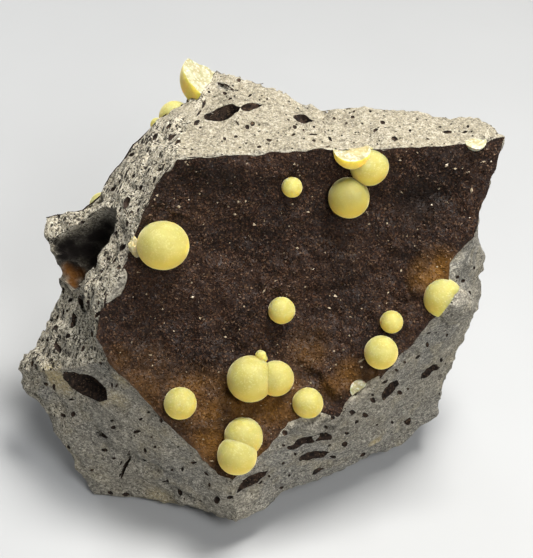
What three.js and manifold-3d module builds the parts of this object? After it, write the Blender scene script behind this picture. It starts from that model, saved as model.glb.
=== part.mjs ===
// Calcite balls on a broken block of vesicular basalt.
// Millimetres, +Z up, the open vug looks toward -Y. The block rests on the flat underside at z = 0.
import * as THREE from 'three';
import Module from 'manifold-3d';
import { mergeVertices } from 'three/addons/utils/BufferGeometryUtils.js';

const wasm = await Module();
wasm.setup();

// Driving sizes
const GAP = 0.3;                  // clear space between pieces that touch
const CRUST_THICKNESS = 1.1;      // druse lining of a vug wall
const CRUST_GRAIN = 0.8;          // extra height of the crystal lumps on the lining
const CRUST_LUMP_SIZES = [4, 9];
const CRUST_MARGIN = 0.7;         // lining stops this far inside the rim of its vug
const CRUST_EDGE = 0.4;           // thickness of the lining there
const FRONT_FACET = 8.0;          // longest edge of a rock facet on the finished sides
const BACK_FACET = 9.5;           // longest edge of a rock facet on the broken back and underneath
const BACK_STARTS_AT_Y = 14;
const TOP_FACET_ABOVE_Z = 88;
const VUG_DEPTH = 6.5;            // how far the vug wall dishes in behind its rim
const VUG_RIM_WIDTH = 22;         // distance over which the wall falls away from the rim
const BACK_VUG_DEPTH = 4.5;
const BACK_VUG_RIM_WIDTH = 13;
const LUMP = { size: 11, height: 1.1 };         // broad and fine roughness of the broken rock
const DENT = { size: 5, height: 0.75 };
const FRONT_EDGE_ROUGHNESS = 0.35;
const BACK_EDGE_WANDER = { size: 8, height: 1.8 };
const VUG_SWELL = { size: 18, share: 0.3 };     // unevenness of the depth of a vug
const LOWEST_ROUGH_POINT = 0.3;   // rough faces stay this far above the ground

const ROCK_COLOUR = '#8d8678';
const DRUSE_COLOUR = '#4a3626';
const CALCITE_COLOUR = '#e3da92';

// Corners of the block where several broken faces meet
const TOP_LEFT = [-21.5, 1, 95];
const RIGHT_TIP = [57, 9, 94.5];
const TOP_BACK = [-12.5, 33.5, 97];
const NOTCH = [-8.5, -38, 25];
const PROW = [-7.5, -38.5, 10];
const ARM_TIP = [-64, -2, 27.5];
const SPIKE = [-55.5, 12, 67];
const LEFT_FOOT = [-45, -21.5, 1];
const RIGHT_FOOT = [45, -4.5, 12];
const ELBOW = [-38, -23, 51];
const SHOULDER = [43.8, -14, 62.4];
const WAIST = [50.5, -2, 73.5];
const BACK_LEFT = [-44, 26, 44];

// Edge lines between those corners, end points left out
const topFrontEdge = [[1, 2.5, 95.5], [29.5, 4.5, 95], [42, 6, 94.5]];
const topLeftEdge = [[-20.5, 9, 95.5], [-17, 18.5, 95.5]];
const topBackEdge = [
  [-1.5, 29, 96], [6, 24.5, 95.5], [13.5, 21.5, 94.2], [20, 21.5, 94.5], [36.5, 20.5, 94], [53, 18, 93],
];
const vugLeftRim = [
  [-26, -2, 89.5], [-31, -7.5, 80], [-34.5, -12, 72], [-39.5, -16, 64], [-41, -20, 56],
];
const vugLowerLeftRim = [[-28, -29, 41], [-17.5, -34.5, 31.5], [-12, -37.5, 26]];
const vugLowerRightRim = [
  [0, -35, 32.5], [6, -31.5, 38.5], [12.5, -29, 39.5], [17, -28.5, 37.5], [26, -24.5, 45], [36, -19, 53],
];
const vugRightRim = [[44.5, -8, 70]];
const tipEdge = [[52.5, 1, 81.5]];
const ridge = [
  [-19.5, 25, 94], [-27, 20, 92], [-33, 17, 86], [-39, 15, 78], [-41, 13.5, 73], [-46, 13, 69],
];
const spikeEdge = [[-53, 6, 56.5], [-52, 5, 49.5], [-56, 3.5, 40]];
const armCrease = [[-52, -13, 38]];
const footEdge = [[-57.5, -10, 19.5], [-51, -17, 12.5]];
const lowerLeftEdge = [[-32.5, -23.5, 1.5], [-23.5, -26, 3.5], [-13, -33.5, 6.5]];
const lowerRightEdge = [[4, -30.5, 10], [16, -21.5, 9.5], [32.5, -12.5, 9.5]];
const lumpCrease = [[47, -6, 46], [46, -4, 28]];
const lumpEdge = [[54.5, 7, 60], [55, 9, 44], [52, 9, 31], [47, 6, 15.5]];

// Hidden back: a blunt broken surface, and the outline of the flat facet that the block rests on
const tipBackEdge = [[54, 16, 80], [53, 17, 66]];
const backBelt = [[-14, 37, 50], [18, 35, 46], [44, 26, 42]];
const backLeftEdge = [[-22, 33, 78]];
const restFront = [[-42, -18, 0], [-26, -19, 0], [-8, -20, 0], [12, -13, 0], [32, -2, 0]];
const restBack = [[36, 10, 0], [20, 24, 0], [-12, 29, 0], [-38, 19, 0], [-47, 4, 0]];

const backwards = (line) => [...line].reverse();

// Every broken face of the block as a closed outline, anticlockwise seen from outside
const FACES = {
  top: [TOP_LEFT, ...topFrontEdge, RIGHT_TIP, ...backwards(topBackEdge), TOP_BACK,
    ...backwards(topLeftEdge)],
  vug: [TOP_LEFT, ...vugLeftRim, ELBOW, ...vugLowerLeftRim, NOTCH, ...vugLowerRightRim, SHOULDER,
    ...vugRightRim, WAIST, ...tipEdge, RIGHT_TIP, ...backwards(topFrontEdge)],
  leftBand: [TOP_LEFT, ...topLeftEdge, TOP_BACK, ...ridge, SPIKE, ...spikeEdge, ARM_TIP,
    ...armCrease, ELBOW, ...backwards(vugLeftRim)],
  lowerLeft: [ELBOW, ...backwards(armCrease), ARM_TIP, ...footEdge, LEFT_FOOT, ...lowerLeftEdge,
    PROW, NOTCH, ...backwards(vugLowerLeftRim)],
  lowerRight: [NOTCH, PROW, ...lowerRightEdge, RIGHT_FOOT, ...backwards(lumpCrease), SHOULDER,
    ...backwards(vugLowerRightRim)],
  lump: [SHOULDER, ...lumpCrease, RIGHT_FOOT, ...backwards(lumpEdge), WAIST,
    ...backwards(vugRightRim)],
  rightSide: [WAIST, ...lumpEdge, RIGHT_FOOT, restFront[4], restBack[0], backBelt[2],
    ...backwards(tipBackEdge), RIGHT_TIP, ...backwards(tipEdge)],
  back: [RIGHT_TIP, ...tipBackEdge, ...backwards(backBelt), ...backwards(backLeftEdge), TOP_BACK,
    ...topBackEdge],
  backVug: [TOP_BACK, ...backLeftEdge, backBelt[0], BACK_LEFT, SPIKE, ...backwards(ridge)],
  lowerBack: [backBelt[0], backBelt[1], backBelt[2], restBack[0], restBack[1], restBack[2], restBack[3],
    BACK_LEFT],
  leftBack: [SPIKE, BACK_LEFT, restBack[3], restBack[4], ARM_TIP, ...backwards(spikeEdge)],
  leftUnder: [ARM_TIP, restBack[4], restFront[0], LEFT_FOOT, ...backwards(footEdge)],
  under: [LEFT_FOOT, ...restFront, RIGHT_FOOT, ...backwards(lowerRightEdge), PROW,
    ...backwards(lowerLeftEdge)],
  rest: [...backwards(restFront), ...backwards(restBack)],
};

const BACK_FACES = ['back', 'backVug', 'lowerBack', 'leftBack', 'leftUnder', 'under', 'rightSide'];

// Steady pseudo-random value from 0 to 1 for a lattice point
function lattice(ix, iy, iz) {
  const mixed = Math.sin(ix * 127.1 + iy * 311.7 + iz * 74.7) * 43758.5453;
  return mixed - Math.floor(mixed);
}

// Layers of noise, so that no two roughnesses repeat each other
const LAYERS = { vugDepth: 1, lumps: 2, dents: 3, coarseDruse: 5, fineDruse: 6, wander: 10 };
const LAYER_SHIFT = 17.3;

// Smooth noise from -1 to 1 with lumps of about the given size
function noise(point, size, layer) {
  const p = point.map((value) => value / size + layer * LAYER_SHIFT);
  const cell = p.map(Math.floor);
  const blend = p.map((value, axis) => {
    const f = value - cell[axis];
    return f * f * (3 - 2 * f);
  });
  let sum = 0;
  for (let corner = 0; corner < 8; corner += 1) {
    const step = [corner & 1, (corner >> 1) & 1, (corner >> 2) & 1];
    const weight = step.reduce((w, s, axis) => w * (s ? blend[axis] : 1 - blend[axis]), 1);
    sum += weight * lattice(cell[0] + step[0], cell[1] + step[1], cell[2] + step[2]);
  }
  return sum * 2 - 1;
}

const subtract = (a, b) => [a[0] - b[0], a[1] - b[1], a[2] - b[2]];
const dot = (a, b) => a[0] * b[0] + a[1] * b[1] + a[2] * b[2];
const cross = (a, b) => [a[1] * b[2] - a[2] * b[1], a[2] * b[0] - a[0] * b[2], a[0] * b[1] - a[1] * b[0]];
const along = (a, direction, amount) => a.map((value, axis) => value + direction[axis] * amount);
const distance = (a, b) => Math.hypot(...subtract(a, b));
const unit = (a) => {
  const size = Math.hypot(...a) || 1;
  return a.map((value) => value / size);
};

// Average normal of a closed outline
function outlineNormal(outline) {
  let normal = [0, 0, 0];
  outline.forEach((point, i) => {
    normal = along(normal, cross(point, outline[(i + 1) % outline.length]), 1);
  });
  return unit(normal);
}

// Shared-corner triangle mesh of the block, each triangle marked with the face it belongs to
function blockCage() {
  const points = [];
  const places = new Map();
  const triangles = [];
  const pointIndex = (point) => {
    const key = point.map((value) => value.toFixed(3)).join();
    if (!places.has(key)) {
      places.set(key, points.length);
      points.push([...point]);
    }
    return places.get(key);
  };
  for (const [face, outline] of Object.entries(FACES)) {
    const normal = outlineNormal(outline);
    const side = unit(cross(Math.abs(normal[2]) > 0.9 ? [0, 1, 0] : [0, 0, 1], normal));
    const up = cross(normal, side);
    const flat = outline.map((point) => new THREE.Vector2(dot(point, side), dot(point, up)));
    for (const [a, b, c] of THREE.ShapeUtils.triangulateShape(flat, [])) {
      triangles.push({ corners: [a, b, c].map((i) => pointIndex(outline[i])), face });
    }
  }
  return { points, triangles };
}

// Limits of the work on the facets: rounds, and the least gain in area and angle that counts
const SWAP_ROUNDS = 12;
const REFINE_PASSES = 40;
const RELAX_ROUNDS = 5;
const LEAST_AREA = 0.01;
const LEAST_ANGLE_GAIN = 0.01;

const edgeKey = (a, b) => (a < b ? `${a}_${b}` : `${b}_${a}`);

// Size of the angle at corner a of the triangle a, b, c
function angleAt(a, b, c) {
  return Math.acos(dot(unit(subtract(b, a)), unit(subtract(c, a))));
}

// Swaps the shared edge of two triangles of one face wherever that makes them better shaped
function swapEdges({ points, triangles }) {
  for (let round = 0; round < SWAP_ROUNDS; round += 1) {
    const sides = new Map();
    const touched = new Set();
    let swaps = 0;
    triangles.forEach(({ corners }, t) => [0, 1, 2].forEach((i) => {
      const key = edgeKey(corners[i], corners[(i + 1) % 3]);
      sides.set(key, [...(sides.get(key) || []), [t, i]]);
    }));
    for (const [[first, i], [second, j]] of sides.values()) {
      const one = triangles[first];
      const two = triangles[second];
      if (one.face !== two.face || touched.has(first) || touched.has(second)) continue;
      const [a, b, c] = [0, 1, 2].map((n) => one.corners[(i + n) % 3]);
      const d = two.corners[(j + 2) % 3];
      const [pa, pb, pc, pd] = [a, b, c, d].map((n) => points[n]);
      const normal = outlineNormal(FACES[one.face]);
      const staysOpen = [[pc, pa, pd], [pd, pb, pc]].every(([x, y, z]) => (
        dot(cross(subtract(y, x), subtract(z, x)), normal) > LEAST_AREA));
      const facingAngles = angleAt(pc, pa, pb) + angleAt(pd, pa, pb);
      if (!staysOpen || facingAngles < Math.PI + LEAST_ANGLE_GAIN) continue;
      one.corners = [c, a, d];
      two.corners = [d, b, c];
      touched.add(first).add(second);
      swaps += 1;
    }
    if (!swaps) break;
  }
}

// Halves the longest edge of every triangle that is still too long, until none is
function refine(mesh, limitAt) {
  let { triangles } = mesh;
  const { points } = mesh;
  swapEdges(mesh);
  for (let pass = 0; pass < REFINE_PASSES; pass += 1) {
    const halved = new Map();
    for (const { corners } of triangles) {
      const edges = [0, 1, 2].map((i) => [corners[i], corners[(i + 1) % 3]]);
      const lengths = edges.map(([a, b]) => distance(points[a], points[b]));
      const longest = lengths.indexOf(Math.max(...lengths));
      const [a, b] = edges[longest];
      const middle = points[a].map((value, axis) => (value + points[b][axis]) / 2);
      if (lengths[longest] > limitAt(middle) && !halved.has(edgeKey(a, b))) {
        halved.set(edgeKey(a, b), points.length);
        points.push(middle);
      }
    }
    if (!halved.size) break;
    triangles = triangles.flatMap(({ corners, face }) => splitTriangle(corners, halved)
      .map((part) => ({ corners: part, face })));
    swapEdges({ points, triangles });
  }
  return { points, triangles };
}

function splitTriangle(corners, halved) {
  const middles = [0, 1, 2].map((i) => halved.get(edgeKey(corners[i], corners[(i + 1) % 3])));
  const first = middles.findIndex((middle) => middle !== undefined);
  if (first < 0) return [corners];
  const [a, b, c] = [0, 1, 2].map((i) => corners[(first + i) % 3]);
  const middle = middles[first];
  return [...splitTriangle([a, middle, c], halved), ...splitTriangle([middle, b, c], halved)];
}

// Which vertices lie on the line between two faces
function borderVertices(mesh) {
  const facesAt = mesh.points.map(() => new Set());
  mesh.triangles.forEach(({ corners, face }) => corners.forEach((i) => facesAt[i].add(face)));
  return facesAt;
}

// Evens out the spacing of the vertices inside each face
function relax(mesh, facesAt) {
  const neighbours = mesh.points.map(() => new Set());
  mesh.triangles.forEach(({ corners }) => corners.forEach((i, n) => {
    neighbours[i].add(corners[(n + 1) % 3]);
    neighbours[i].add(corners[(n + 2) % 3]);
  }));
  for (let round = 0; round < RELAX_ROUNDS; round += 1) {
    mesh.points.forEach((point, i) => {
      if (facesAt[i].size > 1) return;
      const near = [...neighbours[i]].map((n) => mesh.points[n]);
      const mean = [0, 1, 2].map((axis) => near.reduce((sum, p) => sum + p[axis], 0) / near.length);
      mesh.points[i] = point.map((value, axis) => (value + mean[axis]) / 2);
    });
  }
}

function vertexNormals(mesh) {
  const normals = mesh.points.map(() => [0, 0, 0]);
  mesh.triangles.forEach(({ corners }) => {
    const [a, b, c] = corners.map((i) => mesh.points[i]);
    const area = cross(subtract(b, a), subtract(c, a));
    corners.forEach((i) => { normals[i] = along(normals[i], area, 1); });
  });
  return normals.map(unit);
}

function distanceToOutline(point, outline) {
  return Math.min(...outline.map((start, i) => {
    const run = subtract(outline[(i + 1) % outline.length], start);
    const t = Math.min(Math.max(dot(subtract(point, start), run) / dot(run, run), 0), 1);
    return distance(point, along(start, run, t));
  }));
}

// Hollows out the dish of a vug: every inner vertex sinks behind the plane of its rim
function dish(mesh, facesAt, face, depth, rimWidth) {
  const inward = outlineNormal(FACES[face]).map((value) => -value);
  mesh.points.forEach((point, i) => {
    if (facesAt[i].size > 1 || !facesAt[i].has(face)) return;
    const away = distanceToOutline(point, FACES[face]);
    const uneven = 1 + VUG_SWELL.share * noise(point, VUG_SWELL.size, LAYERS.vugDepth);
    const slope = 1 - Math.min(away / rimWidth, 1);
    mesh.points[i] = along(point, inward, depth * uneven * (1 - slope * slope));
  });
}

// Gives the broken surface its lumps. Front edges stay near their lines, edges at the back wander,
// and the flat rest facet stays flat.
function roughen(mesh, facesAt) {
  const normals = vertexNormals(mesh);
  mesh.points.forEach((point, i) => {
    const faces = [...facesAt[i]];
    if (faces.includes('rest')) return;
    const isEdge = faces.length > 1;
    const isBackEdge = isEdge && faces.every((face) => BACK_FACES.includes(face));
    const strength = isEdge && !isBackEdge ? FRONT_EDGE_ROUGHNESS : 1;
    const height = LUMP.height * noise(point, LUMP.size, LAYERS.lumps)
      + DENT.height * noise(point, DENT.size, LAYERS.dents);
    const wander = isBackEdge ? BACK_EDGE_WANDER.height : 0;
    const moved = along(point, normals[i], strength * height)
      .map((value, axis) => value + wander * noise(point, BACK_EDGE_WANDER.size, LAYERS.wander + axis));
    moved[2] = Math.max(moved[2], LOWEST_ROUGH_POINT);
    mesh.points[i] = moved;
  });
}

function facetLimit([, y, z]) {
  const isBack = y > BACK_STARTS_AT_Y && z < TOP_FACET_ABOVE_Z;
  const isUnderneath = z < LOWEST_ROUGH_POINT;
  return isBack || isUnderneath ? BACK_FACET : FRONT_FACET;
}

function buildBlock() {
  const mesh = refine(blockCage(), facetLimit);
  const facesAt = borderVertices(mesh);
  relax(mesh, facesAt);
  swapEdges(mesh);
  relax(mesh, facesAt);
  dish(mesh, facesAt, 'vug', VUG_DEPTH, VUG_RIM_WIDTH);
  dish(mesh, facesAt, 'backVug', BACK_VUG_DEPTH, BACK_VUG_RIM_WIDTH);
  roughen(mesh, facesAt);
  return { ...mesh, facesAt, normals: vertexNormals(mesh) };
}

function solidFromTriangles(points, triangles) {
  const geometry = new THREE.BufferGeometry();
  geometry.setAttribute('position', new THREE.Float32BufferAttribute(points.flat(), 3));
  geometry.setIndex(triangles.flat());
  return solidFromGeometry(geometry);
}

function solidFromGeometry(geometry) {
  geometry.deleteAttribute('normal');
  geometry.deleteAttribute('uv');
  const merged = mergeVertices(geometry, 1e-4);
  return new wasm.Manifold(new wasm.Mesh({
    numProp: 3,
    vertProperties: new Float32Array(merged.attributes.position.array),
    triVerts: new Uint32Array(merged.index.array),
  }));
}

function geometryFromSolid(solid) {
  const mesh = solid.getMesh();
  const geometry = new THREE.BufferGeometry();
  geometry.setAttribute('position', new THREE.Float32BufferAttribute(Array.from(mesh.vertProperties), 3));
  geometry.setIndex(Array.from(mesh.triVerts));
  const faceted = geometry.toNonIndexed();
  faceted.computeVertexNormals();
  return faceted;
}

const LENS_OVERRUN = 1.1;         // a lens-shaped void runs a little past the two ends given for it
const HOLLOW_FINENESS = [6, 9];   // rings and sides of a void
const VESICLE_FINENESS = [4, 6];

// Vesicles large enough to see from a step away: face, the two ends, width and depth
const VESICLES = [
  ['lowerLeft', [-51.5, -12.5, 34.5], [-40.5, -22, 39], 4.4, 4.5],
  ['lowerLeft', [-44, -19.5, 22], [-40.5, -22, 23], 1.4, 1.6],
  ['lowerLeft', [-35, -24.5, 19.5], [-37.5, -22.5, 8.5], 1.1, 1.8],
  ['top', [-14.5, 15.5, 96], [-7, 17.5, 96], 4, 3.5],
  ['top', [-5.5, 18, 96], [-1.5, 20.5, 95.5], 1.8, 1.6],
  ['top', [7, 17.5, 95], [11, 15, 95], 2.8, 2.2],
  ['top', [-12, 29, 96.5], [-8, 26, 97], 1.2, 1.2],
  ['leftBand', [-47, -4.5, 55], [-45.5, -9.5, 55.5], 2.6, 2.8],
  ['leftBand', [-48.5, -5.5, 51], [-49, -8, 48.5], 2.6, 2.8],
  ['lowerRight', [6, -31.5, 30.5], [12, -29.5, 31], 1.9, 2.6],
  ['lowerRight', [11.5, -29.5, 30.5], [15.5, -28.5, 32], 1.8, 2],
  ['lowerRight', [8.5, -29.5, 23.5], [15.5, -26, 22], 2, 2.6],
  ['lowerRight', [-6.5, -37, 20.5], [-0.5, -34, 23.5], 1.6, 3],
  ['lowerRight', [29.5, -19, 34.5], [32, -18, 39.5], 2.2, 2.4],
  ['lowerRight', [39.5, -12, 35], [43, -9, 35], 2.2, 2.4],
  ['rightSide', [53.5, 16, 54], [53, 19, 50], 2.6, 2.6],
  ['rightSide', [45, 13, 26], [44, 18, 24], 2.4, 2.6],
  ['back', [14, 28, 74], [20, 28, 72], 3.2, 3],
  ['back', [36, 25, 66], [40, 25, 70], 2.6, 2.6],
  ['lowerBack', [-8, 34, 26], [-2, 33, 28], 3.4, 3],
  ['leftBack', [-53, 11, 38], [-51, 15, 33], 2.8, 2.8],
];

// The deep hollow in the left side under the spike, two lobes that run together
const HOLLOW = [
  ['leftBand', [-51.5, 3.5, 53.5], [-36.5, 2, 76], 14.5, 10],
  ['leftBand', [-53, 7.5, 60.5], [-39.5, -1, 70.5], 10, 8],
];

// Calcite balls: centre and radius of every sphere of a piece, the planes where its first sphere is broken,
// and the sphere of rock that another grew against
const BALLS = {
  calcite_ball_top_pair: {
    spheres: [[[20.3, 3.6, 95.2], 4.5], [[24.6, 1.1, 92.7], 4.7]],
    broken: [{ through: [20.3, 3.6, 95.4], facing: [0, 0, 1] }],
  },
  calcite_ball_under_top_pair: { spheres: [[[19.8, -0.4, 83.9], 5]] },
  calcite_ball_small_upper: { spheres: [[[6.1, -0.2, 87], 2.5]] },
  calcite_ball_left_rim: { spheres: [[[-24.7, -10.5, 77.5], 6]] },
  calcite_ball_lower_left: { spheres: [[[-21, -29.2, 42.8], 4]] },
  calcite_ball_centre_pair: {
    spheres: [
      [[-4, -25, 47], 5.7],
      [[2.3, -24.6, 46.8], 4.4],
      [[-1.4, -21.4, 51.4], 1.4],
      [[-0.5, -20.2, 52.4], 0.9],
    ],
  },
  calcite_ball_lip: { spheres: [[[10.1, -28.3, 42], 3.8]] },
  calcite_ball_right: { spheres: [[[27.8, -22, 53.1], 4.1]] },
  calcite_ball_right_small: { spheres: [[[30.4, -16.5, 58.1], 2.8]] },
  calcite_ball_shoulder: { spheres: [[[42.9, -12.5, 62.3], 4.8]], against: [[58, -19.7, 54.3], 17.3] },
  calcite_ball_middle: { spheres: [[[3.7, -13.8, 59.4], 3.3]] },
  calcite_ball_notch_pair: { spheres: [[[-7.2, -37, 32.7], 4.9], [[-5.6, -33, 35], 4.8]] },
  calcite_flake_lip: {
    spheres: [[[22.1, -25.4, 44.1], 2.3]],
    broken: [{ through: [22.1, -25.9, 44.5], facing: [0, -0.8, 0.6] }],
  },
  calcite_flake_right_tip: {
    spheres: [[[50.4, 7.2, 94.6], 2.5]],
    broken: [{ through: [50.4, 7.2, 94.7], facing: [0, 0, 1] }],
  },
  calcite_ball_back_corner: {
    spheres: [[[-14.1, 31, 96.2], 7.5]],
    broken: [
      { through: [-20, 34.5, 100.1], facing: [0.5, -0.05, 0.86] },
      { through: [-20, 34.5, 100.1], facing: [0.42, 0.61, 0.67] },
    ],
  },
  calcite_ball_back_ridge: { spheres: [[[-22.7, 24, 89.7], 4], [[-27, 21.8, 89], 1.75]] },
  calcite_ball_back_spike: { spheres: [[[-41.4, 15.5, 68.5], 3.2]] },
};
const SMALL_BALL = 4.95;          // balls up to these radii have fewer flat facets
const TINY_BALL = 1.7;
const CUT_SIZE = 40;              // block that breaks a ball, wider than any ball

const block = buildBlock();

// The block with its skin moved out by a clearance
function blockSolid(clearance) {
  const points = block.points.map((point, i) => along(point, block.normals[i], clearance));
  return solidFromTriangles(points, block.triangles.map(({ corners }) => corners));
}

// Lens-shaped void sunk into one face, its long axis running between two points
function lensVoid([face, from, to, width, depth], rings, sides) {
  const outward = outlineNormal(FACES[face]);
  const run = subtract(to, from);
  const longAxis = along(run, outward, -dot(run, outward));
  const across = cross(outward, unit(longAxis));
  const middle = from.map((value, axis) => (value + to[axis]) / 2);
  const shape = new THREE.SphereGeometry(1, sides, rings);
  const basis = new THREE.Matrix4().makeBasis(
    new THREE.Vector3(...longAxis).multiplyScalar(LENS_OVERRUN / 2),
    new THREE.Vector3(...across).multiplyScalar(width / 2),
    new THREE.Vector3(...outward).multiplyScalar(depth),
  );
  shape.rotateX(Math.PI / 2);
  shape.applyMatrix4(basis.setPosition(...middle));
  return solidFromGeometry(shape);
}

// The triangles of one face as a mesh of its own, with the block's vertex number for each of its vertices
function faceSheet(face) {
  const own = block.triangles.filter((triangle) => triangle.face === face).map(({ corners }) => corners);
  const vertices = [...new Set(own.flat())];
  const place = new Map(vertices.map((vertex, i) => [vertex, i]));
  return {
    vertices,
    points: vertices.map((vertex) => block.points[vertex]),
    triangles: own.map((corners) => ({ corners: corners.map((vertex) => place.get(vertex)) })),
  };
}

// Open edges of a sheet, each running the way its own triangle does
function openEdges(triangles) {
  const edges = triangles.flatMap(({ corners }) => corners.map((a, n) => [a, corners[(n + 1) % 3]]));
  const known = new Set(edges.map(([a, b]) => `${a}_${b}`));
  return edges.filter(([a, b]) => !known.has(`${b}_${a}`));
}

// A layer that follows one face of the block between two heights above it and stops a margin inside its rim
function layerSolid(face, margin, heightLow, heightHigh) {
  const sheet = faceSheet(face);
  const normals = vertexNormals(sheet);
  const atRim = sheet.vertices.map((vertex) => block.facesAt[vertex].size > 1);
  const around = sheet.points.map(() => []);
  sheet.triangles.forEach(({ corners }) => corners.forEach((i, n) => {
    around[i].push(corners[(n + 1) % 3], corners[(n + 2) % 3]);
  }));
  const inside = sheet.points.map((point, i) => {
    if (!atRim[i]) return point;
    const near = around[i].map((n) => sheet.points[n]);
    const mean = [0, 1, 2].map((axis) => near.reduce((sum, p) => sum + p[axis], 0) / near.length);
    return along(point, unit(subtract(mean, point)), margin);
  });
  const low = inside.map((point, i) => along(point, normals[i], heightLow(point, atRim[i])));
  const high = inside.map((point, i) => along(point, normals[i], heightHigh(point, atRim[i])));
  const count = inside.length;
  const walls = openEdges(sheet.triangles)
    .flatMap(([a, b]) => [[a, b + count, a + count], [a, b, b + count]]);
  const top = sheet.triangles.map(({ corners }) => corners.map((i) => i + count));
  const bottom = sheet.triangles.map(({ corners: [a, b, c] }) => [a, c, b]);
  return solidFromTriangles([...low, ...high], [...top, ...bottom, ...walls]);
}

// Height of the druse above the wall: a crust that thins out at the rim and rises into crystal lumps
function crustTop(point, atRim) {
  if (atRim) return GAP + CRUST_EDGE;
  const [fine, coarse] = CRUST_LUMP_SIZES;
  const lumps = noise(point, fine, LAYERS.fineDruse) + noise(point, coarse, LAYERS.coarseDruse);
  return GAP + CRUST_THICKNESS + CRUST_GRAIN * Math.max(0, lumps);
}

function crustSolid(face) {
  return layerSolid(face, CRUST_MARGIN, () => GAP, crustTop);
}

// Everything that a ball has to stay clear of: the block and its linings, all grown by the gap
function clearanceSolid() {
  const above = (point, atRim) => crustTop(point, atRim) + GAP;
  const insideBlock = () => -CRUST_THICKNESS;
  const margin = CRUST_MARGIN - GAP - CRUST_EDGE / 2;
  return blockSolid(GAP)
    .add(layerSolid('vug', margin, insideBlock, above))
    .add(layerSolid('backVug', margin, insideBlock, above));
}

// A ball with flat facets, turned by its own place so that no two balls look alike
function sphereSolid(centre, radius) {
  const fineness = 1 + (radius > TINY_BALL) + (radius > SMALL_BALL);
  const sphere = new THREE.IcosahedronGeometry(radius, fineness);
  return solidFromGeometry(sphere.rotateX(centre[0]).rotateY(centre[1]).translate(...centre));
}

// Large block that fills the side of a plane toward which the plane faces
function halfSpace(through, facing) {
  const box = new THREE.BoxGeometry(CUT_SIZE, CUT_SIZE, CUT_SIZE).translate(0, 0, CUT_SIZE / 2);
  const up = new THREE.Vector3(0, 0, 1);
  const turn = new THREE.Quaternion().setFromUnitVectors(up, new THREE.Vector3(...unit(facing)));
  return solidFromGeometry(box.applyQuaternion(turn).translate(...through));
}

function ballSolid({ spheres, broken = [], against }, clearance) {
  const grown = spheres.map(([centre, radius]) => sphereSolid(centre, radius));
  for (const { through, facing } of broken) grown[0] = grown[0].subtract(halfSpace(through, facing));
  let solid = grown.reduce((joined, sphere) => joined.add(sphere)).subtract(clearance);
  if (against) solid = solid.subtract(sphereSolid(...against));
  return largestPart(solid);
}

function largestPart(solid) {
  return solid.decompose().sort((a, b) => b.volume() - a.volume())[0];
}

function material(color, roughness) {
  return new THREE.MeshStandardMaterial({ color, roughness, metalness: 0 });
}

const group = new THREE.Group();
function addNode(name, solid, look) {
  const mesh = new THREE.Mesh(geometryFromSolid(solid), look);
  mesh.name = name;
  group.add(mesh);
}

// The basalt block with its hollow and vesicles
let rock = blockSolid(0);
for (const lobe of HOLLOW) rock = rock.subtract(lensVoid(lobe, ...HOLLOW_FINENESS));
for (const vesicle of VESICLES) rock = rock.subtract(lensVoid(vesicle, ...VESICLE_FINENESS));
addNode('basalt_matrix', largestPart(rock), material(ROCK_COLOUR, 0.95));

// The druse that lines the two vug walls
addNode('druse_front_vug', crustSolid('vug'), material(DRUSE_COLOUR, 0.7));
addNode('druse_back_vug', crustSolid('backVug'), material(DRUSE_COLOUR, 0.7));

// The calcite balls
const clearance = clearanceSolid();
for (const [name, ball] of Object.entries(BALLS)) {
  addNode(name, ballSolid(ball, clearance), material(CALCITE_COLOUR, 0.5));
}

// Origin under the middle of the whole piece
const bounds = new THREE.Box3().setFromObject(group);
const middle = bounds.getCenter(new THREE.Vector3());
group.children.forEach((mesh) => mesh.geometry.translate(-middle.x, -middle.y, -bounds.min.z));

export default group;
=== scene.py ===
import math

import bmesh
import bpy
import numpy as np
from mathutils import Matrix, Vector
from mathutils.bvhtree import BVHTree


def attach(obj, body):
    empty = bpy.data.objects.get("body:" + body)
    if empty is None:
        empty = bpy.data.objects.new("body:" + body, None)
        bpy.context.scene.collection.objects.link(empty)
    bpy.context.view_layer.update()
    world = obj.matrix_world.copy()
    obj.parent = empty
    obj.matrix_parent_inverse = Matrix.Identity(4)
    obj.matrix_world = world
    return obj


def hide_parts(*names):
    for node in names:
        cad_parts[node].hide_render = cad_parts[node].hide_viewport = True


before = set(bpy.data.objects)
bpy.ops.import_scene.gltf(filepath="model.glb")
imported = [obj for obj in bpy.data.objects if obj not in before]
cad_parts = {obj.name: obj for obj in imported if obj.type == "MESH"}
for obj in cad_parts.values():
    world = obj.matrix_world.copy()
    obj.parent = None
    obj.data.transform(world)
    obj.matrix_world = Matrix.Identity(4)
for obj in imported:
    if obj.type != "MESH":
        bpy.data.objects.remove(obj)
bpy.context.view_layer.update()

# Shapes are worked out in millimetres and become metres when a piece is made
MM = 0.001
RANDOM = np.random.default_rng(11)

# Where the origin of the part's own drawing lies in this frame
DRAWING_ORIGIN = np.array([3.4, 1.9, 0.0])

# The photograph's frame in pixels, and the camera that took it
PHOTO_WIDTH = 533
PHOTO_HEIGHT = 558
FOCAL_PIXELS = 1875
SENSOR = 36.0
CAMERA_ELEVATION = math.radians(42)
CAMERA_DISTANCE = 450
CAMERA_TARGET = DRAWING_ORIGIN + [0, -13.8, 69.7]
TO_CAMERA = np.array([0, -math.cos(CAMERA_ELEVATION), math.sin(CAMERA_ELEVATION)])
CAMERA_PLACE = CAMERA_TARGET + CAMERA_DISTANCE * TO_CAMERA

# Longest side of a triangle of the fine rock where it faces the camera, faces away, rests on the ground and
# lies under the lining, and of the lining itself
FRONT_DETAIL = 1.0
BACK_DETAIL = 2.1
REST_DETAIL = 4.0
HIDDEN_DETAIL = 9.0
LINING_DETAIL = 1.0

# Edges that bend more than this stay sharp while the flat facets are rounded off
SHARP_ANGLE = math.radians(30)
SMOOTH_ROUNDS = 22


# Arrays of points and triangles

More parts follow.
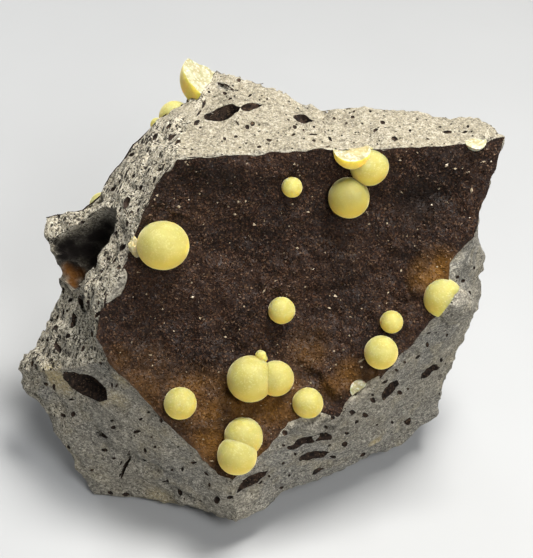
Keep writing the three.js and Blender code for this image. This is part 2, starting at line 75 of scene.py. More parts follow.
def arrays_from(mesh):
    """Points in millimetres, triangles and the material slot of each triangle"""
    points = np.empty(len(mesh.vertices) * 3)
    mesh.vertices.foreach_get("co", points)
    mesh.calc_loop_triangles()
    triangles = np.empty(len(mesh.loop_triangles) * 3, int)
    mesh.loop_triangles.foreach_get("vertices", triangles)
    owner = np.empty(len(mesh.loop_triangles), int)
    mesh.loop_triangles.foreach_get("polygon_index", owner)
    slots = np.empty(len(mesh.polygons), int)
    mesh.polygons.foreach_get("material_index", slots)
    return points.reshape(-1, 3) / MM, triangles.reshape(-1, 3), slots[owner]


def node_arrays(name):
    """Points in millimetres and triangles of a node, its equal corners joined"""
    corners, triangles, _ = arrays_from(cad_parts[name].data)
    points, place = np.unique(np.round(corners, 3), axis=0, return_inverse=True)
    return points, place.ravel()[triangles]


def unit(vectors):
    """Vectors of length 1 in the same directions"""
    return vectors / np.maximum(np.linalg.norm(vectors, axis=-1, keepdims=True), 1e-12)


def triangle_areas(points, triangles):
    """Each triangle's normal, as long as twice its area"""
    a, b, c = (points[triangles[:, n]] for n in range(3))
    return np.cross(b - a, c - a)


def vertex_normals(points, triangles):
    """Normal at every point of a mesh"""
    areas = triangle_areas(points, triangles)
    normals = np.zeros_like(points)
    for corner in range(3):
        for axis in range(3):
            normals[:, axis] += np.bincount(triangles[:, corner], areas[:, axis], len(points))
    return unit(normals)


def edges_of(triangles, count):
    """The edges of a mesh, and the numbers of the three edges of every triangle"""
    starts = triangles[:, [0, 1, 2]].ravel()
    ends = triangles[:, [1, 2, 0]].ravel()
    keys = np.minimum(starts, ends) * count + np.maximum(starts, ends)
    found, sides = np.unique(keys, return_inverse=True)
    return np.stack([found // count, found % count], axis=1), sides.reshape(-1, 3)


def split(triangles, middles, limits):
    """Cuts every triangle through the middles of its halved sides, where middles isn't -1"""
    done = []
    while True:
        whole = (middles < 0).all(axis=1)
        done.append((triangles[whole], limits[whole]))
        triangles, middles, limits = triangles[~whole], middles[~whole], limits[~whole]
        if not len(triangles):
            break
        first = (middles >= 0).argmax(axis=1)
        turn = (first[:, None] + np.arange(3)) % 3
        a, b, c = np.take_along_axis(triangles, turn, axis=1).T
        middle, second, third = np.take_along_axis(middles, turn, axis=1).T
        none = np.full_like(middle, -1)
        triangles = np.vstack([np.stack([a, middle, c], 1), np.stack([middle, b, c], 1)])
        middles = np.vstack([np.stack([none, none, third], 1), np.stack([none, second, none], 1)])
        limits = np.concatenate([limits, limits])
    return np.vstack([part for part, _ in done]), np.concatenate([part for _, part in done])


def refine(points, triangles, limits):
    """Halves the longest side of every triangle that is longer than the triangle's limit, until none is.
    Columns of the points beyond the third ride along."""
    while True:
        edges, sides = edges_of(triangles, len(points))
        lengths = np.linalg.norm(points[edges[:, 0], :3] - points[edges[:, 1], :3], axis=1)[sides]
        longest = lengths.argmax(axis=1)
        rows = np.arange(len(triangles))
        too_long = lengths[rows, longest] > limits
        if not too_long.any():
            return points, triangles
        chosen = np.unique(sides[rows, longest][too_long])
        halved = np.full(len(edges), -1)
        halved[chosen] = len(points) + np.arange(len(chosen))
        points = np.vstack([points, points[edges[chosen]].mean(axis=1)])
        triangles, limits = split(triangles, halved[sides], limits)


def sharp_edges(points, triangles):
    """Edges of a closed mesh, and which of them are sharp"""
    edges, sides = edges_of(triangles, len(points))
    normals = unit(triangle_areas(points, triangles))
    beside = (np.argsort(sides.ravel(), kind="stable") // 3).reshape(-1, 2)
    bend = (normals[beside[:, 0]] * normals[beside[:, 1]]).sum(axis=1)
    return edges, bend < math.cos(SHARP_ANGLE)


def smooth(points, triangles, rounds, held):
    """Rounds off the flat facets of a closed mesh and keeps its sharp edges and the held points"""
    edges, is_sharp = sharp_edges(points, triangles)
    fixed = held.copy()
    fixed[edges[is_sharp]] = True
    here = edges.ravel()
    there = edges[:, ::-1].ravel()
    count = np.maximum(np.bincount(here, minlength=len(points)), 1)
    for _ in range(rounds):
        sums = [np.bincount(here, points[there, axis], len(points)) for axis in range(3)]
        mean = np.stack(sums, 1) / count[:, None]
        points = np.where(fixed[:, None], points, (points + mean) / 2)
    return points, fixed


# Noise

def lattice(cell):
    """A number from 0 to 1 for each cell of a grid, as good as random but always the same"""
    mixed = np.sin(cell @ np.array([127.1, 311.7, 74.7])) * 43758.5453
    return mixed - np.floor(mixed)


def noise(points, size, layer):
    """Smooth noise from -1 to 1 with lumps of about the given size in millimetres"""
    place = points / size + layer * 17.3
    cell = np.floor(place)
    part = place - cell
    blend = part * part * (3 - 2 * part)
    total = np.zeros(len(points))
    for corner in range(8):
        step = np.array([corner & 1, corner >> 1 & 1, corner >> 2 & 1])
        weight = np.where(step, blend, 1 - blend).prod(axis=1)
        total += weight * lattice(cell + step)
    return total * 2 - 1


def layered_noise(points, layers, first):
    """Sum of layers of noise, each given as its size and height"""
    return sum(height * noise(points, size, first + n) for n, (size, height) in enumerate(layers))


def ramp(values, low, high):
    """Smooth step from 0 at low to 1 at high"""
    share = np.clip((values - low) / (high - low), 0, 1)
    return share * share * (3 - 2 * share)


# Blender objects from arrays

def mesh_from(name, points, triangles, slots=None):
    """A mesh of triangles, its points given in millimetres"""
    mesh = bpy.data.meshes.new(name)
    mesh.vertices.add(len(points))
    mesh.vertices.foreach_set("co", (points * MM).astype(np.float32).ravel())
    mesh.loops.add(len(triangles) * 3)
    mesh.loops.foreach_set("vertex_index", triangles.astype(np.int32).ravel())
    mesh.polygons.add(len(triangles))
    mesh.polygons.foreach_set("loop_start", np.arange(0, len(triangles) * 3, 3, dtype=np.int32))
    if slots is not None:
        mesh.polygons.foreach_set("material_index", slots.astype(np.int32))
    mesh.update(calc_edges=True)
    return mesh


def object_from(name, data, materials=()):
    """An object in the scene from a mesh and its materials, a lamp or a camera"""
    made = bpy.data.objects.new(name, data)
    bpy.context.scene.collection.objects.link(made)
    for material in materials:
        data.materials.append(material)
    return made


def combine(body, tool, operation):
    """Joins or cuts closed bodies, each given as points, triangles and slots"""
    both = [bpy.data.materials.new("cut_a"), bpy.data.materials.new("cut_b")]
    objects = [object_from("cut", mesh_from("cut", *arrays), both) for arrays in (body, tool)]
    modifier = objects[0].modifiers.new("cut", "BOOLEAN")
    modifier.operation = operation
    modifier.solver = "MANIFOLD"
    modifier.object = objects[1]
    bpy.context.view_layer.update()
    evaluated = objects[0].evaluated_get(bpy.context.evaluated_depsgraph_get())
    mesh = evaluated.to_mesh()
    arrays = arrays_from(mesh)
    evaluated.to_mesh_clear()
    for made in objects:
        old = made.data
        bpy.data.objects.remove(made)
        bpy.data.meshes.remove(old)
    for material in both:
        bpy.data.materials.remove(material)
    return arrays


def joined(parts):
    """Several bodies as one set of arrays"""
    points, triangles, slots, start = [], [], [], 0
    for part_points, part_triangles, part_slots in parts:
        points.append(part_points)
        triangles.append(part_triangles + start)
        slots.append(part_slots)
        start += len(part_points)
    return np.vstack(points), np.vstack(triangles), np.concatenate(slots)


def finish_piece(name, arrays, materials, masks, nodes, smooth_angle):
    """A shown piece that stands for some nodes of the frame"""
    points, triangles, slots = arrays
    mesh = mesh_from(name, points, triangles, slots)
    for mask, values in masks.items():
        layer = mesh.attributes.new(mask, "FLOAT", "POINT")
        layer.data.foreach_set("value", values.astype(np.float32))
    piece = object_from(name, mesh, materials)
    if smooth_angle:
        mesh.shade_smooth()
        mesh.set_sharp_from_angle(angle=smooth_angle)
    else:
        mesh.shade_flat()
    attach(piece, "root")
    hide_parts(*nodes)
    return piece


def unit_sphere(level):
    """A ball of radius 1 from an icosahedron, finer with each level"""
    ball = bmesh.new()
    bmesh.ops.create_icosphere(ball, subdivisions=level, radius=1)
    points = np.array([vertex.co[:] for vertex in ball.verts])
    triangles = np.array([[vertex.index for vertex in face.verts] for face in ball.faces])
    ball.free()
    return points, triangles


SPHERES = {level: unit_sphere(level) for level in range(1, 7)}


# Placing by the photograph

def ray_through(x, y):
    """Direction from the camera through a pixel of the photograph"""
    right = np.array([1.0, 0, 0])
    up = np.cross(right, -TO_CAMERA)
    return unit(-TO_CAMERA + (x - PHOTO_WIDTH / 2) / FOCAL_PIXELS * right
                - (y - PHOTO_HEIGHT / 2) / FOCAL_PIXELS * up)


class Surface:
    """A mesh that rays from the camera can hit"""

    def __init__(self, points, triangles):
        self.tree = BVHTree.FromPolygons(points.tolist(), triangles.tolist())

    def at_pixel(self, x, y):
        """Point and normal that the photograph shows at a pixel, or None"""
        place, normal, _, _ = self.tree.ray_cast(Vector(CAMERA_PLACE), Vector(ray_through(x, y)))
        return None if place is None else (np.array(place), np.array(normal))

    def nearest(self, point):
        """Nearest point of the surface, its normal there and how far it is"""
        place, normal, _, distance = self.tree.find_nearest(Vector(point))
        return np.array(place), np.array(normal), distance

    def distances(self, points):
        """How far each point is from the surface"""
        return np.array([self.tree.find_nearest(Vector(point))[3] for point in points])


def around_spots(points, surface, spots):
    """For each round spot that lies on a surface: its number, how far each point is from its middle, its
    radius and its strength"""
    for n, (x, y, radius, strength) in enumerate(spots):
        hit = surface.at_pixel(x, y)
        if hit is not None:
            yield n, np.linalg.norm(points - hit[0], axis=1), radius, strength


# The broken rock

# Roughness, in layers of size and height
SHAKE = [(4.2, 0.40), (1.9, 0.30)]
CHIPS = [(9.0, 0.65), (4.0, 0.48), (1.7, 0.30)]
# Broken ledges, drawn out along the layers of the lava
LEDGES = [(5.5, 0.55), (2.8, 0.42), (1.5, 0.24)]
LEDGE_STRETCH = 2.4
BAND_FLOW = np.array([0.35, 0.42, 0.69])
# Larger broken facets of the sides away from the camera
FACETS = [(17.0, 1.3), (8.0, 0.75)]
FACETS_AWAY = (0.05, 0.4)       # how far a side is turned away where they set in and where they are full
# How high the crests of the ledges and facets lie, in shares of their height
LEDGE_CREST = 0.7
FACET_CREST = 0.6
# The roughness sets in between these heights above the ground
GROUND_FADE = (0.05, 3.0)
# How much of the relief the sharp edges of the block get, and the rim that the lining shares
EDGE_SHARE = 0.9
RIM_SHARE = 0.35
RIM_REACH = 1.5
LINING_BED = 1.3                # how much lower the rock is under the lining
# First layer of noise that each feature uses
LAYERS = {
    "shake": 20, "knuckles": 30, "chips": 40, "ledges": 50, "shoulder rock": 58, "facets": 60, "hollow": 60,
    "hollow tip": 61, "large voids": 70, "vesicles": 100, "hidden vesicles": 300, "shown vesicles": 700,
    "lining": 900, "knobs": 950, "shoulder lump": 1190, "balls": 1200, "band pits": 1300, "back lips": 1500,
}


def shake(points):
    """Moves points in all directions alike, so that two pieces that share an edge keep sharing it"""
    steady = ramp(points[:, 2], *GROUND_FADE)[:, None]
    moved = [layered_noise(points, SHAKE, LAYERS["shake"] + 5 * axis) for axis in range(3)]
    return points + steady * np.stack(moved, 1)


def crests(points, size, tall, top, layer):
    """Height of sharp crests of the given size, with rounded troughs between them"""
    return tall * (top - 2 * np.abs(noise(points, size, layer)))


def relief(points, band_share):
    """Height of the broken surface: chips and drawn-out ledges, which run up the band on the left"""
    along = unit(BAND_FLOW)
    run = points @ along
    banded = points - (1 - 1 / LEDGE_STRETCH) * run[:, None] * along
    layered = points * [1 / LEDGE_STRETCH, 1 / LEDGE_STRETCH, 1]
    height = layered_noise(points, CHIPS, LAYERS["chips"])
    for n, (size, tall) in enumerate(LEDGES):
        for place, share in ((layered, 1 - band_share), (banded, band_share)):
            height += crests(place, size, share * tall, LEDGE_CREST, LAYERS["ledges"] + n)
    return height


def facets(points, away):
    """Height of the larger facets, on the faces that look away from the camera"""
    ridges = [crests(points, size, tall, FACET_CREST, LAYERS["facets"] + n)
              for n, (size, tall) in enumerate(FACETS)]
    return ramp(away, *FACETS_AWAY) * sum(ridges)


# Directions in which the broken faces of the block look
FACING = {
    "top": [0.02, 0.01, 1.0],
    "left_band": [-0.78, -0.28, 0.56],
    "lower_left": [-0.50, -0.87, -0.02],
    "lower_right": [0.56, -0.82, -0.14],
    "right_side": [0.92, 0.29, -0.27],
    "back": [0.25, 0.96, 0.16],
    "lower_back": [0.04, 0.97, -0.22],
    "left_back": [-0.83, 0.53, -0.16],
}
VUG_FACING = np.array([0.05, -0.87, 0.50])

# Large voids of the block: the face they are sunk into, their two ends, width and depth. Some are a little
# wider than in the plain block, as the photograph shows them.
LARGE_VOIDS = [
    ("lower_left", [-51.0, -13.0, 34.2], [-40.8, -21.7, 39.2], 7.2, 4.5),
    ("lower_left", [-44, -19.5, 22], [-40.5, -22, 23], 1.4, 1.6),
    ("lower_left", [-35, -24.5, 19.5], [-37.5, -22.5, 8.5], 0.9, 1.8),
    ("top", [-14.3, 15.5, 96], [-7.2, 17.3, 96], 4.3, 5.0),
    ("top", [-5.7, 17.3, 96], [-1.5, 19.8, 95.5], 2.2, 1.8),
    ("top", [7, 17.5, 95], [11, 15, 95], 2.8, 2.2),
    ("top", [-12, 29, 96.5], [-8, 26, 97], 1.2, 1.2),
    ("left_band", [-47, -4.5, 55], [-45.5, -9.5, 55.5], 2.6, 2.8),
    ("left_band", [-48.5, -5.5, 51], [-49, -8, 48.5], 2.6, 2.8),
    ("lower_right", [5.6, -31.4, 29.5], [11.8, -29.6, 32.2], 3.3, 2.6),
    ("lower_right", [11.4, -29.9, 32.4], [15.6, -27.8, 29.2], 2.7, 2.4),
    ("lower_right", [8.6, -29.6, 23.6], [14.4, -26.5, 22.0], 3.9, 2.6),
    ("lower_right", [-6.5, -37, 20.5], [-0.5, -34, 23.5], 2.8, 3),
    ("lower_right", [29.5, -19, 34.7], [32, -18, 39.3], 3.7, 2.4),
    ("lower_right", [39.3, -12, 34.8], [43, -9, 35.6], 5.0, 2.4),
    ("right_side", [53.5, 16, 54], [53, 19, 50], 2.6, 2.6),
    ("right_side", [45, 13, 26], [44, 18, 24], 2.4, 2.6),
    ("back", [14, 28, 74], [20, 28, 72], 3.2, 3),
    ("back", [36, 25, 66], [40, 25, 70], 2.6, 2.6),
    ("lower_back", [-8, 34, 26], [-2, 33, 28], 3.4, 3),
    ("left_back", [-53, 11, 38], [-51, 15, 33], 2.8, 2.8),
]
# The two lobes of the hollow on the left, given in the same way
HOLLOW_LOBES = [
    ("left_band", [-51.5, 3.5, 53.5], [-36.5, 2, 76], 14.5, 10),
    ("left_band", [-53, 7.5, 60.5], [-39.5, -1, 70.5], 10, 8),
]
HOLLOW_EASE = 1.02              # how much wider the lobes are cut than they are in the plain block
# The lower tip of that hollow: place, length and width in pixels, tilt in degrees, depth in millimetres
HOLLOW_TIP = (74, 271, 26, 15, -48, 2.2)
# Lips of rock over the rim of the vug: as above, with a height in place of the depth
KNUCKLES = [
    (117, 281, 36, 18, 74, 1.1), (110, 294, 26, 13, 42, 1.0),
    (366, 391, 38, 12, 46, 1.7), (350, 404, 22, 10, 50, 1.5),
]
LIP_LEAN = 0.8                  # how much they lean toward the band on the left
# The lump of rock in front of the ball on the shoulder: its middle and half axes
SHOULDER_ROCK = ([46.4, -11.8, 59.0], [[4.2, 0.4, 0.6], [0, 3.4, 1.6], [-1.2, -3.1, 6.7]])
# The rim of the vug at the back, over which small lips of rock reach
BACK_RIM = [
    [-55.0, 12.5, 66.0], [-50.4, 20.1, 55.2], [-44.7, 25.5, 44.1], [-28.4, 31.0, 47.0],
    [-14.4, 37.4, 50.1],
    [-18.7, 34.2, 64.5], [-21.5, 34.0, 79.4], [-15.4, 33.4, 93.3],
]
BACK_FACING = np.array([-0.56, 0.78, 0.27])
LIP_SPACING = 4.5
# Smallest and largest half length, half width and height of those lips, and how far they stray
LIP_HALVES = ((1.8, 3.8), (0.8, 2.4), (0.7, 1.3))
LIP_STRAY = 0.5
LIP_TURN = 0.35
# Swells and dips of the broken faces: place in pixels, radius and height in millimetres
SWELLS = [
    (312, 426, 4.6, 1.2), (303, 438, 3, 0.7), (341, 428, 3.2, -1.5), (352, 414, 3, 0.8),
    (343, 416, 2.6, -1.4), (334, 440, 2.6, -0.9), (60, 330, 5, 0.8), (46, 372, 4, 0.7), (90, 350, 4, -0.6),
    (60, 410, 5, -0.8), (110, 440, 6, 0.7), (150, 470, 6, -0.6), (190, 490, 5, 0.7), (400, 380, 6, 0.8),
    (425, 400, 4, -0.8), (380, 430, 6, 0.8), (330, 460, 5, -0.7), (290, 480, 5, 0.7), (465, 265, 4, 0.9),
    (470, 300, 4, 0.8), (455, 330, 5, 0.6), (150, 150, 5, 0.7), (130, 185, 4, -0.7), (170, 130, 4, 0.6),
    (210, 98, 3, -1.2), (117, 225, 3.5, 0.7), (95, 290, 4, 0.7), (75, 310, 4, 0.6), (29, 385, 2.2, 1.2),
    (37, 396, 2.2, -1.2), (436, 366, 2.2, 1), (440, 378, 2, -1.1), (438, 388, 2.2, 1.1),
    (434, 400, 2, -1.1), (436, 412, 2.2, 1), (400, 440, 2.4, 0.9), (328, 424, 2.6, -1),
    (322, 430, 2.4, -0.6), (321, 114, 3.4, -1.7), (334, 114, 3.4, 0.9), (490, 180, 6, -1.3),
    (481, 205, 5, -0.9),
]
VOID_OVERRUN = 1.1              # a void is this much longer than the way between its ends
VOID_EASE = 1.18                # the fine void takes in the whole of the plain one
VOID_RISE = 1.0                 # its middle lies at the height of the rough surface

# Vesicles that the photograph shows: place in pixels, length and width in pixels, and tilt in degrees
VESICLES = [
    # top face
    (225, 86.5, 18, 2.2, -22), (204, 103, 11, 2.6, 70), (199, 113, 9, 2.2, 55),
    (239, 80, 4, 2.5, 0), (225, 93.5, 5.5, 3, -20), (230, 99, 6, 3, -15), (209, 92, 3, 2, 0),
    (247.3, 127, 4.5, 3.5, 0), (252.6, 123.6, 5, 3.5, 0), (236, 136.7, 4.5, 2.2, 0),
    (224.5, 138.6, 3.5, 2.5, 0), (269, 140.2, 7, 3.5, 0), (259.2, 146.8, 5, 2.5, 10),
    (294.7, 126.9, 4.5, 3.5, -15), (293.3, 134.9, 5, 2, 0), (313.2, 134.4, 9, 2, 0),
    (313.9, 140.5, 4.5, 2, 0), (330, 139, 6, 3, -45), (327.5, 146.5, 5.5, 1.8, 5),
    (288.4, 119.7, 3.5, 2.2, 0), (334.3, 118.4, 3.5, 2, 0), (352.5, 117, 4.5, 3.2, 0),
    (382.7, 122.5, 5.5, 3.5, -15), (370.3, 111.3, 3, 2, 0), (394.6, 138.6, 7.5, 4, -10),
    (447, 132.2, 10, 3, 2), (465, 132, 6, 2, 0), (440, 127, 4, 1.8, 0), (267, 99, 2.5, 2, 0),
    (303.4, 130, 2.5, 2, 0), (314, 126.9, 2.5, 2, 0), (354, 111.3, 2.5, 2, 0), (346.2, 123.2, 3, 2, 0),
    (237.5, 123, 6, 1.8, -45), (184.5, 148.5, 6, 2.2, 0), (191, 154, 3, 2, 0), (200.3, 127.6, 3, 2, 0),
    (410, 130.5, 3, 2, 0), (428, 139, 4, 2, -10), (468, 126.5, 3, 2, 0),
    # band on the left
    (196.9, 122, 10, 4.5, 55), (171.6, 137.2, 11, 2.4, 38), (131.8, 154.9, 6, 2.6, 40),
    (125.7, 157.9, 4, 2.2, 30), (126.4, 203, 14, 5, 70), (122, 247.5, 11, 4.5, 58), (98, 314, 9, 3.5, 65),
    (58, 348, 13, 2.8, -68), (72.5, 289, 3.5, 3.5, 0), (79.5, 286.3, 3, 2.5, 0), (71, 300, 4.5, 3.5, 60),
    (67.6, 310.8, 4, 3, 0), (55.7, 327, 4.5, 3, 70), (48, 340.3, 3.5, 3, 0), (67.6, 336, 6, 3.2, 70),
    (118.8, 267.3, 7, 3, 80), (108.3, 258.9, 3.5, 2.4, 0), (83, 222.4, 7, 5.5, 0), (113, 189, 6, 4, 60),
    (103, 170, 4, 3, 40), (134, 176, 6, 3, 60), (141, 188, 7, 3.5, 65), (120, 181, 5, 3, 50),
    (146, 168, 5, 2.5, 50), (116, 233, 5, 3, 60),
    # lower left
    (71.7, 399.5, 6, 2.2, -5), (64, 415.6, 7, 3, -25), (73.2, 414.3, 6, 5, 60), (69, 446.9, 5, 3.2, -30),
    (104.7, 450, 7.5, 3.6, -5), (111.7, 420.8, 4.5, 2, 0), (113.1, 427.5, 5.5, 4, 20),
    (137, 431.7, 7.5, 2.6, -5), (140.8, 419.1, 3.5, 2, 0), (148.9, 412.1, 3.5, 2, 0),
    (193.8, 462.6, 6.5, 2.8, -8), (206.4, 473.8, 6.5, 2.8, -15), (144.7, 460.2, 5.5, 2.4, 0),
    (113.8, 458.4, 4.5, 2, 0), (165, 481.3, 5.5, 2.6, 5), (128.5, 454, 6, 1.8, 30),
    (121, 463, 5, 1.8, 75), (120.5, 474.5, 6, 1.8, 60),
    (125.8, 494.2, 8.5, 4, -8), (110.3, 493.2, 6, 3.4, -15), (217, 499.8, 7, 6.5, 0),
    (199.9, 500.5, 6, 3.2, -20), (230.3, 497, 6.5, 3.2, -5), (155, 447, 3, 2, 0), (178, 447, 3, 2, 0),
    (46, 384, 6, 3, -15), (172, 470, 3, 2, 0), (92, 470, 4, 2, 0),
    # lower right
    (385.5, 382.2, 9, 3, 28), (372.9, 400, 5.5, 5, 20), (372.4, 394.9, 3.5, 2.5, 0),
    (352.6, 412.7, 5.5, 4.6, 20), (365.2, 415.2, 5.8, 3.8, 10), (356.6, 422, 5.5, 2.2, 40),
    (347, 433.3, 5.5, 2.2, 25), (344.5, 444, 7, 3, 30), (333, 456.6, 6.5, 2.6, 20),
    (362.3, 454.8, 8.5, 3, 28), (399.6, 392.3, 4.5, 4, 20), (408, 389, 2.8, 2.5, 0),
    (408.2, 418.7, 11.5, 7, 50), (391.9, 422.1, 3, 2.6, 0), (427.2, 344.6, 5, 3, 70),
    (417.7, 356.7, 6.5, 2.6, 40), (404.8, 362.4, 3, 2.6, 0), (396.2, 370, 3, 2.6, 0),
    (441.5, 360.1, 4.5, 3, 60), (439.2, 394, 3, 2.6, 0), (281.7, 487.7, 5.5, 2.4, 10),
    (289.4, 475.5, 3.6, 2.4, 0), (283.4, 463.5, 4.5, 3.2, 20), (269, 476, 3, 2.4, 0),
    (284.8, 433, 5.5, 4.4, 20), (283.7, 445.4, 3.4, 2.6, 0), (295.1, 454, 3, 2.4, 0),
    (329, 445.4, 5.5, 2, 10), (260.4, 482.4, 5.5, 3.2, 30), (318.7, 472, 14, 4, 30),
    (333, 419, 6, 4.5, 60), (326, 427, 3.6, 2.6, 0), (377, 425, 3, 2, 30), (425, 352, 3, 2.2, 30),
    # lump on the right
    (457.5, 277.1, 3.8, 2.5, 70), (463.1, 280.7, 4.2, 2.6, 70), (473.9, 268, 3.4, 2.6, 60),
    (470.1, 292.6, 4.6, 2.4, 75), (460.3, 301, 2.8, 2.2, 0), (450.5, 302.4, 5.5, 2.4, 80),
    (446.3, 313.6, 9, 3.4, 80), (456.5, 320.6, 5.5, 3, 70), (428.7, 333.3, 5.5, 2.4, 45),
    (466, 313, 3, 2.2, 60), (447, 335, 4, 2.4, 60),
]
VESICLE_DEPTH = 0.85            # of its mean half width
DEEPEST_VESICLE = (1.6, 0.3)    # times its smaller half width, and millimetres more
MOST_STRETCH = 2.4              # where a vesicle lies on a face that is seen aslant
LONG_VESICLE = 9                # pixels above which it is made of finer facets
SLIM_VESICLE = 1.8              # times its width above which its ends are pointed

# How a lump, lip or void departs from an ellipsoid: the sizes of its two layers of noise on a ball of this
# radius, and how much of the width is left at a pointed end
LUMP_RADIUS = 3
LUMP_SIZES = (1.6, 0.7)
LEAST_END = 0.02
# How uneven each kind is, as a share of its radius
KNUCKLE_ROUGH = 0.10
VOID_ROUGH = 0.12
VESICLE_ROUGH = 0.14
SHOULDER_ROUGH = 0.16
LIP_ROUGH = 0.25
# How much its ends are drawn to points
BLUNT = 0.1
SLIGHTLY_POINTED = 0.2
POINTED = 0.3
SHARP = 0.4
VERY_SHARP = 0.5
# Voids wider than these are made of finer facets, and have blunt ends
FINE_VOID = 3.5
BLUNT_VOID = 5

# Triangles of the block that the camera sees, or that rest on the ground, by how they are turned
SEEN_TURN = -0.05
REST_TURN = -0.99
REST_HEIGHT = 0.05
# A triangle lies under the lining where it is nearer to it than this, at its middle and toward its corners
LINING_NEAR = 1.0
TOWARD_CORNER = 0.7
WHOLLY = 0.99                   # the share above which a point counts as under the lining
# Scattered vesicles keep clear of the lining and of the ground by this much
LINING_CLEAR = 1.6
GROUND_CLEAR = 0.3
# How closely a face has to look like the band on the left to belong to it
BAND_TURN = (0.72, 0.9)


def band_share(normals):
    """How much a point belongs to the coarse band on the left, by the way its face looks"""
    return ramp(normals @ unit(np.array(FACING["left_band"])), *BAND_TURN)


def rock_limits(points, triangles, lining):
    """How fine each triangle of the rock has to become: coarse where it rests or the lining hides it"""
    normals = unit(triangle_areas(points, triangles))
    middles = points[triangles].mean(axis=1)
    limits = np.where(normals @ TO_CAMERA > SEEN_TURN, FRONT_DETAIL, BACK_DETAIL)
    limits[(normals[:, 2] < REST_TURN) & (middles[:, 2] < REST_HEIGHT)] = REST_DETAIL
    for row in range(len(triangles)):
        corners = points[triangles[row]]
        inner = TOWARD_CORNER * corners + (1 - TOWARD_CORNER) * middles[row]
        if all(lining.nearest(point)[2] < LINING_NEAR for point in [middles[row], *inner]):
            limits[row] = HIDDEN_DETAIL
    return limits


def rough_body(centre, axes, level, layer, roughness, pinch=0.0):
    """A closed lump with three given half axes and an uneven skin, its two ends drawn to points by pinch"""
    sphere, triangles = SPHERES[level]
    coarse, fine = (noise(sphere * LUMP_RADIUS, size, layer + n) for n, size in enumerate(LUMP_SIZES))
    swell = 1 + roughness * coarse + roughness / 2 * fine
    shape = sphere * swell[:, None]
    shape[:, 1:] *= (np.maximum(1 - sphere[:, :1] ** 2, 0) + LEAST_END) ** (pinch / 2)
    return centre + shape @ np.array(axes), triangles, np.ones(len(triangles), int)


def large_void(face, start, end, width, depth, layer, ease=VOID_EASE, rise=VOID_RISE):
    """A void between two points of a face, drawn out from one to the other"""
    outward = unit(np.array(FACING[face]))
    run = np.array(end, float) - start
    run -= run @ outward * outward
    across = np.cross(outward, unit(run))
    axes = [run * VOID_OVERRUN / 2, across * width / 2, outward * (depth + rise)]
    centre = DRAWING_ORIGIN + (np.array(start, float) + end) / 2 + outward * rise
    level = 5 if width > FINE_VOID else 4
    pinch = BLUNT if width > BLUNT_VOID else POINTED
    return rough_body(centre, np.array(axes) * ease, level, layer, VOID_ROUGH, pinch)


def outline_axes(place, normal, length, width, tilt):
    """Two half axes on a face at a place, which the photograph shows with a given outline in pixels"""
    reach = np.linalg.norm(place - CAMERA_PLACE)
    view = (place - CAMERA_PLACE) / reach
    angle = math.radians(tilt)
    right = ray_through(PHOTO_WIDTH, PHOTO_HEIGHT / 2) - ray_through(0, PHOTO_HEIGHT / 2)
    up = ray_through(PHOTO_WIDTH / 2, 0) - ray_through(PHOTO_WIDTH / 2, PHOTO_HEIGHT)
    axes = []
    for size, turn in ((length, angle), (width, angle + math.pi / 2)):
        half = size / 2 * reach / FOCAL_PIXELS
        flat = half * (math.cos(turn) * unit(right) + math.sin(turn) * unit(up))
        flat -= view * (flat @ normal) / (view @ normal)
        axes.append(flat * min(1, MOST_STRETCH * half / np.linalg.norm(flat)))
    return axes


def seen_vesicle(fine, plain, x, y, length, width, tilt, layer):
    """A vesicle where the photograph shows one, its outline fitted to the surface there"""
    hit = fine.at_pixel(x, y)
    face = plain.at_pixel(x, y)
    if hit is None or face is None:
        return None
    axes = outline_axes(hit[0], face[1], length, width, tilt)
    half_width = np.linalg.norm(axes[1])
    times, more = DEEPEST_VESICLE
    depth = min(VESICLE_DEPTH * (np.linalg.norm(axes[0]) + half_width) / 2, times * half_width + more)
    level = 3 if length > LONG_VESICLE else 2
    pinch = VERY_SHARP if length > SLIM_VESICLE * width else 0
    return rough_body(hit[0], [*axes, face[1] * depth], level, layer, VESICLE_ROUGH, pinch)


def as_rock(body):
    """The same body with the material of the rock all over"""
    points, triangles, _ = body
    return points, triangles, np.zeros(len(triangles), int)


def knuckle(plain, x, y, length, width, tilt, tall, layer):
    """A rounded lip of rock that reaches over the rim of the vug"""
    place = plain.at_pixel(x, y)[0]
    facing = unit(unit(VUG_FACING) + LIP_LEAN * unit(np.array(FACING["left_band"])))
    axes = outline_axes(place, facing, length, width, tilt)
    return as_rock(rough_body(place, [*axes, facing * tall], 4, layer, KNUCKLE_ROUGH))


def back_lips():
    """Small uneven lips of rock along the rim of the vug at the back"""
    outward = unit(BACK_FACING)
    lips = []
    for start, end in zip(BACK_RIM, BACK_RIM[1:]):
        run = np.array(end) - start
        for _ in range(round(np.linalg.norm(run) / LIP_SPACING)):
            centre = DRAWING_ORIGIN + start + run * RANDOM.random() + RANDOM.normal(0, LIP_STRAY, 3)
            halves = [RANDOM.uniform(low, high) for low, high in LIP_HALVES]
            along = unit(unit(run) + RANDOM.normal(0, LIP_TURN, 3))
            across = unit(np.cross(outward, along))
            axes = [along * halves[0], across * halves[1], outward * halves[2]]
            layer = LAYERS["back lips"] + len(lips)
            lips.append(as_rock(rough_body(centre, axes, 3, layer, LIP_ROUGH, SLIGHTLY_POINTED)))
    return lips


# Direction in which the lava has drawn out its bubbles, and how far single ones stray from it
FLOW = np.array([1.0, 0.15, 0.2])
FLOW_STRAY = 0.3
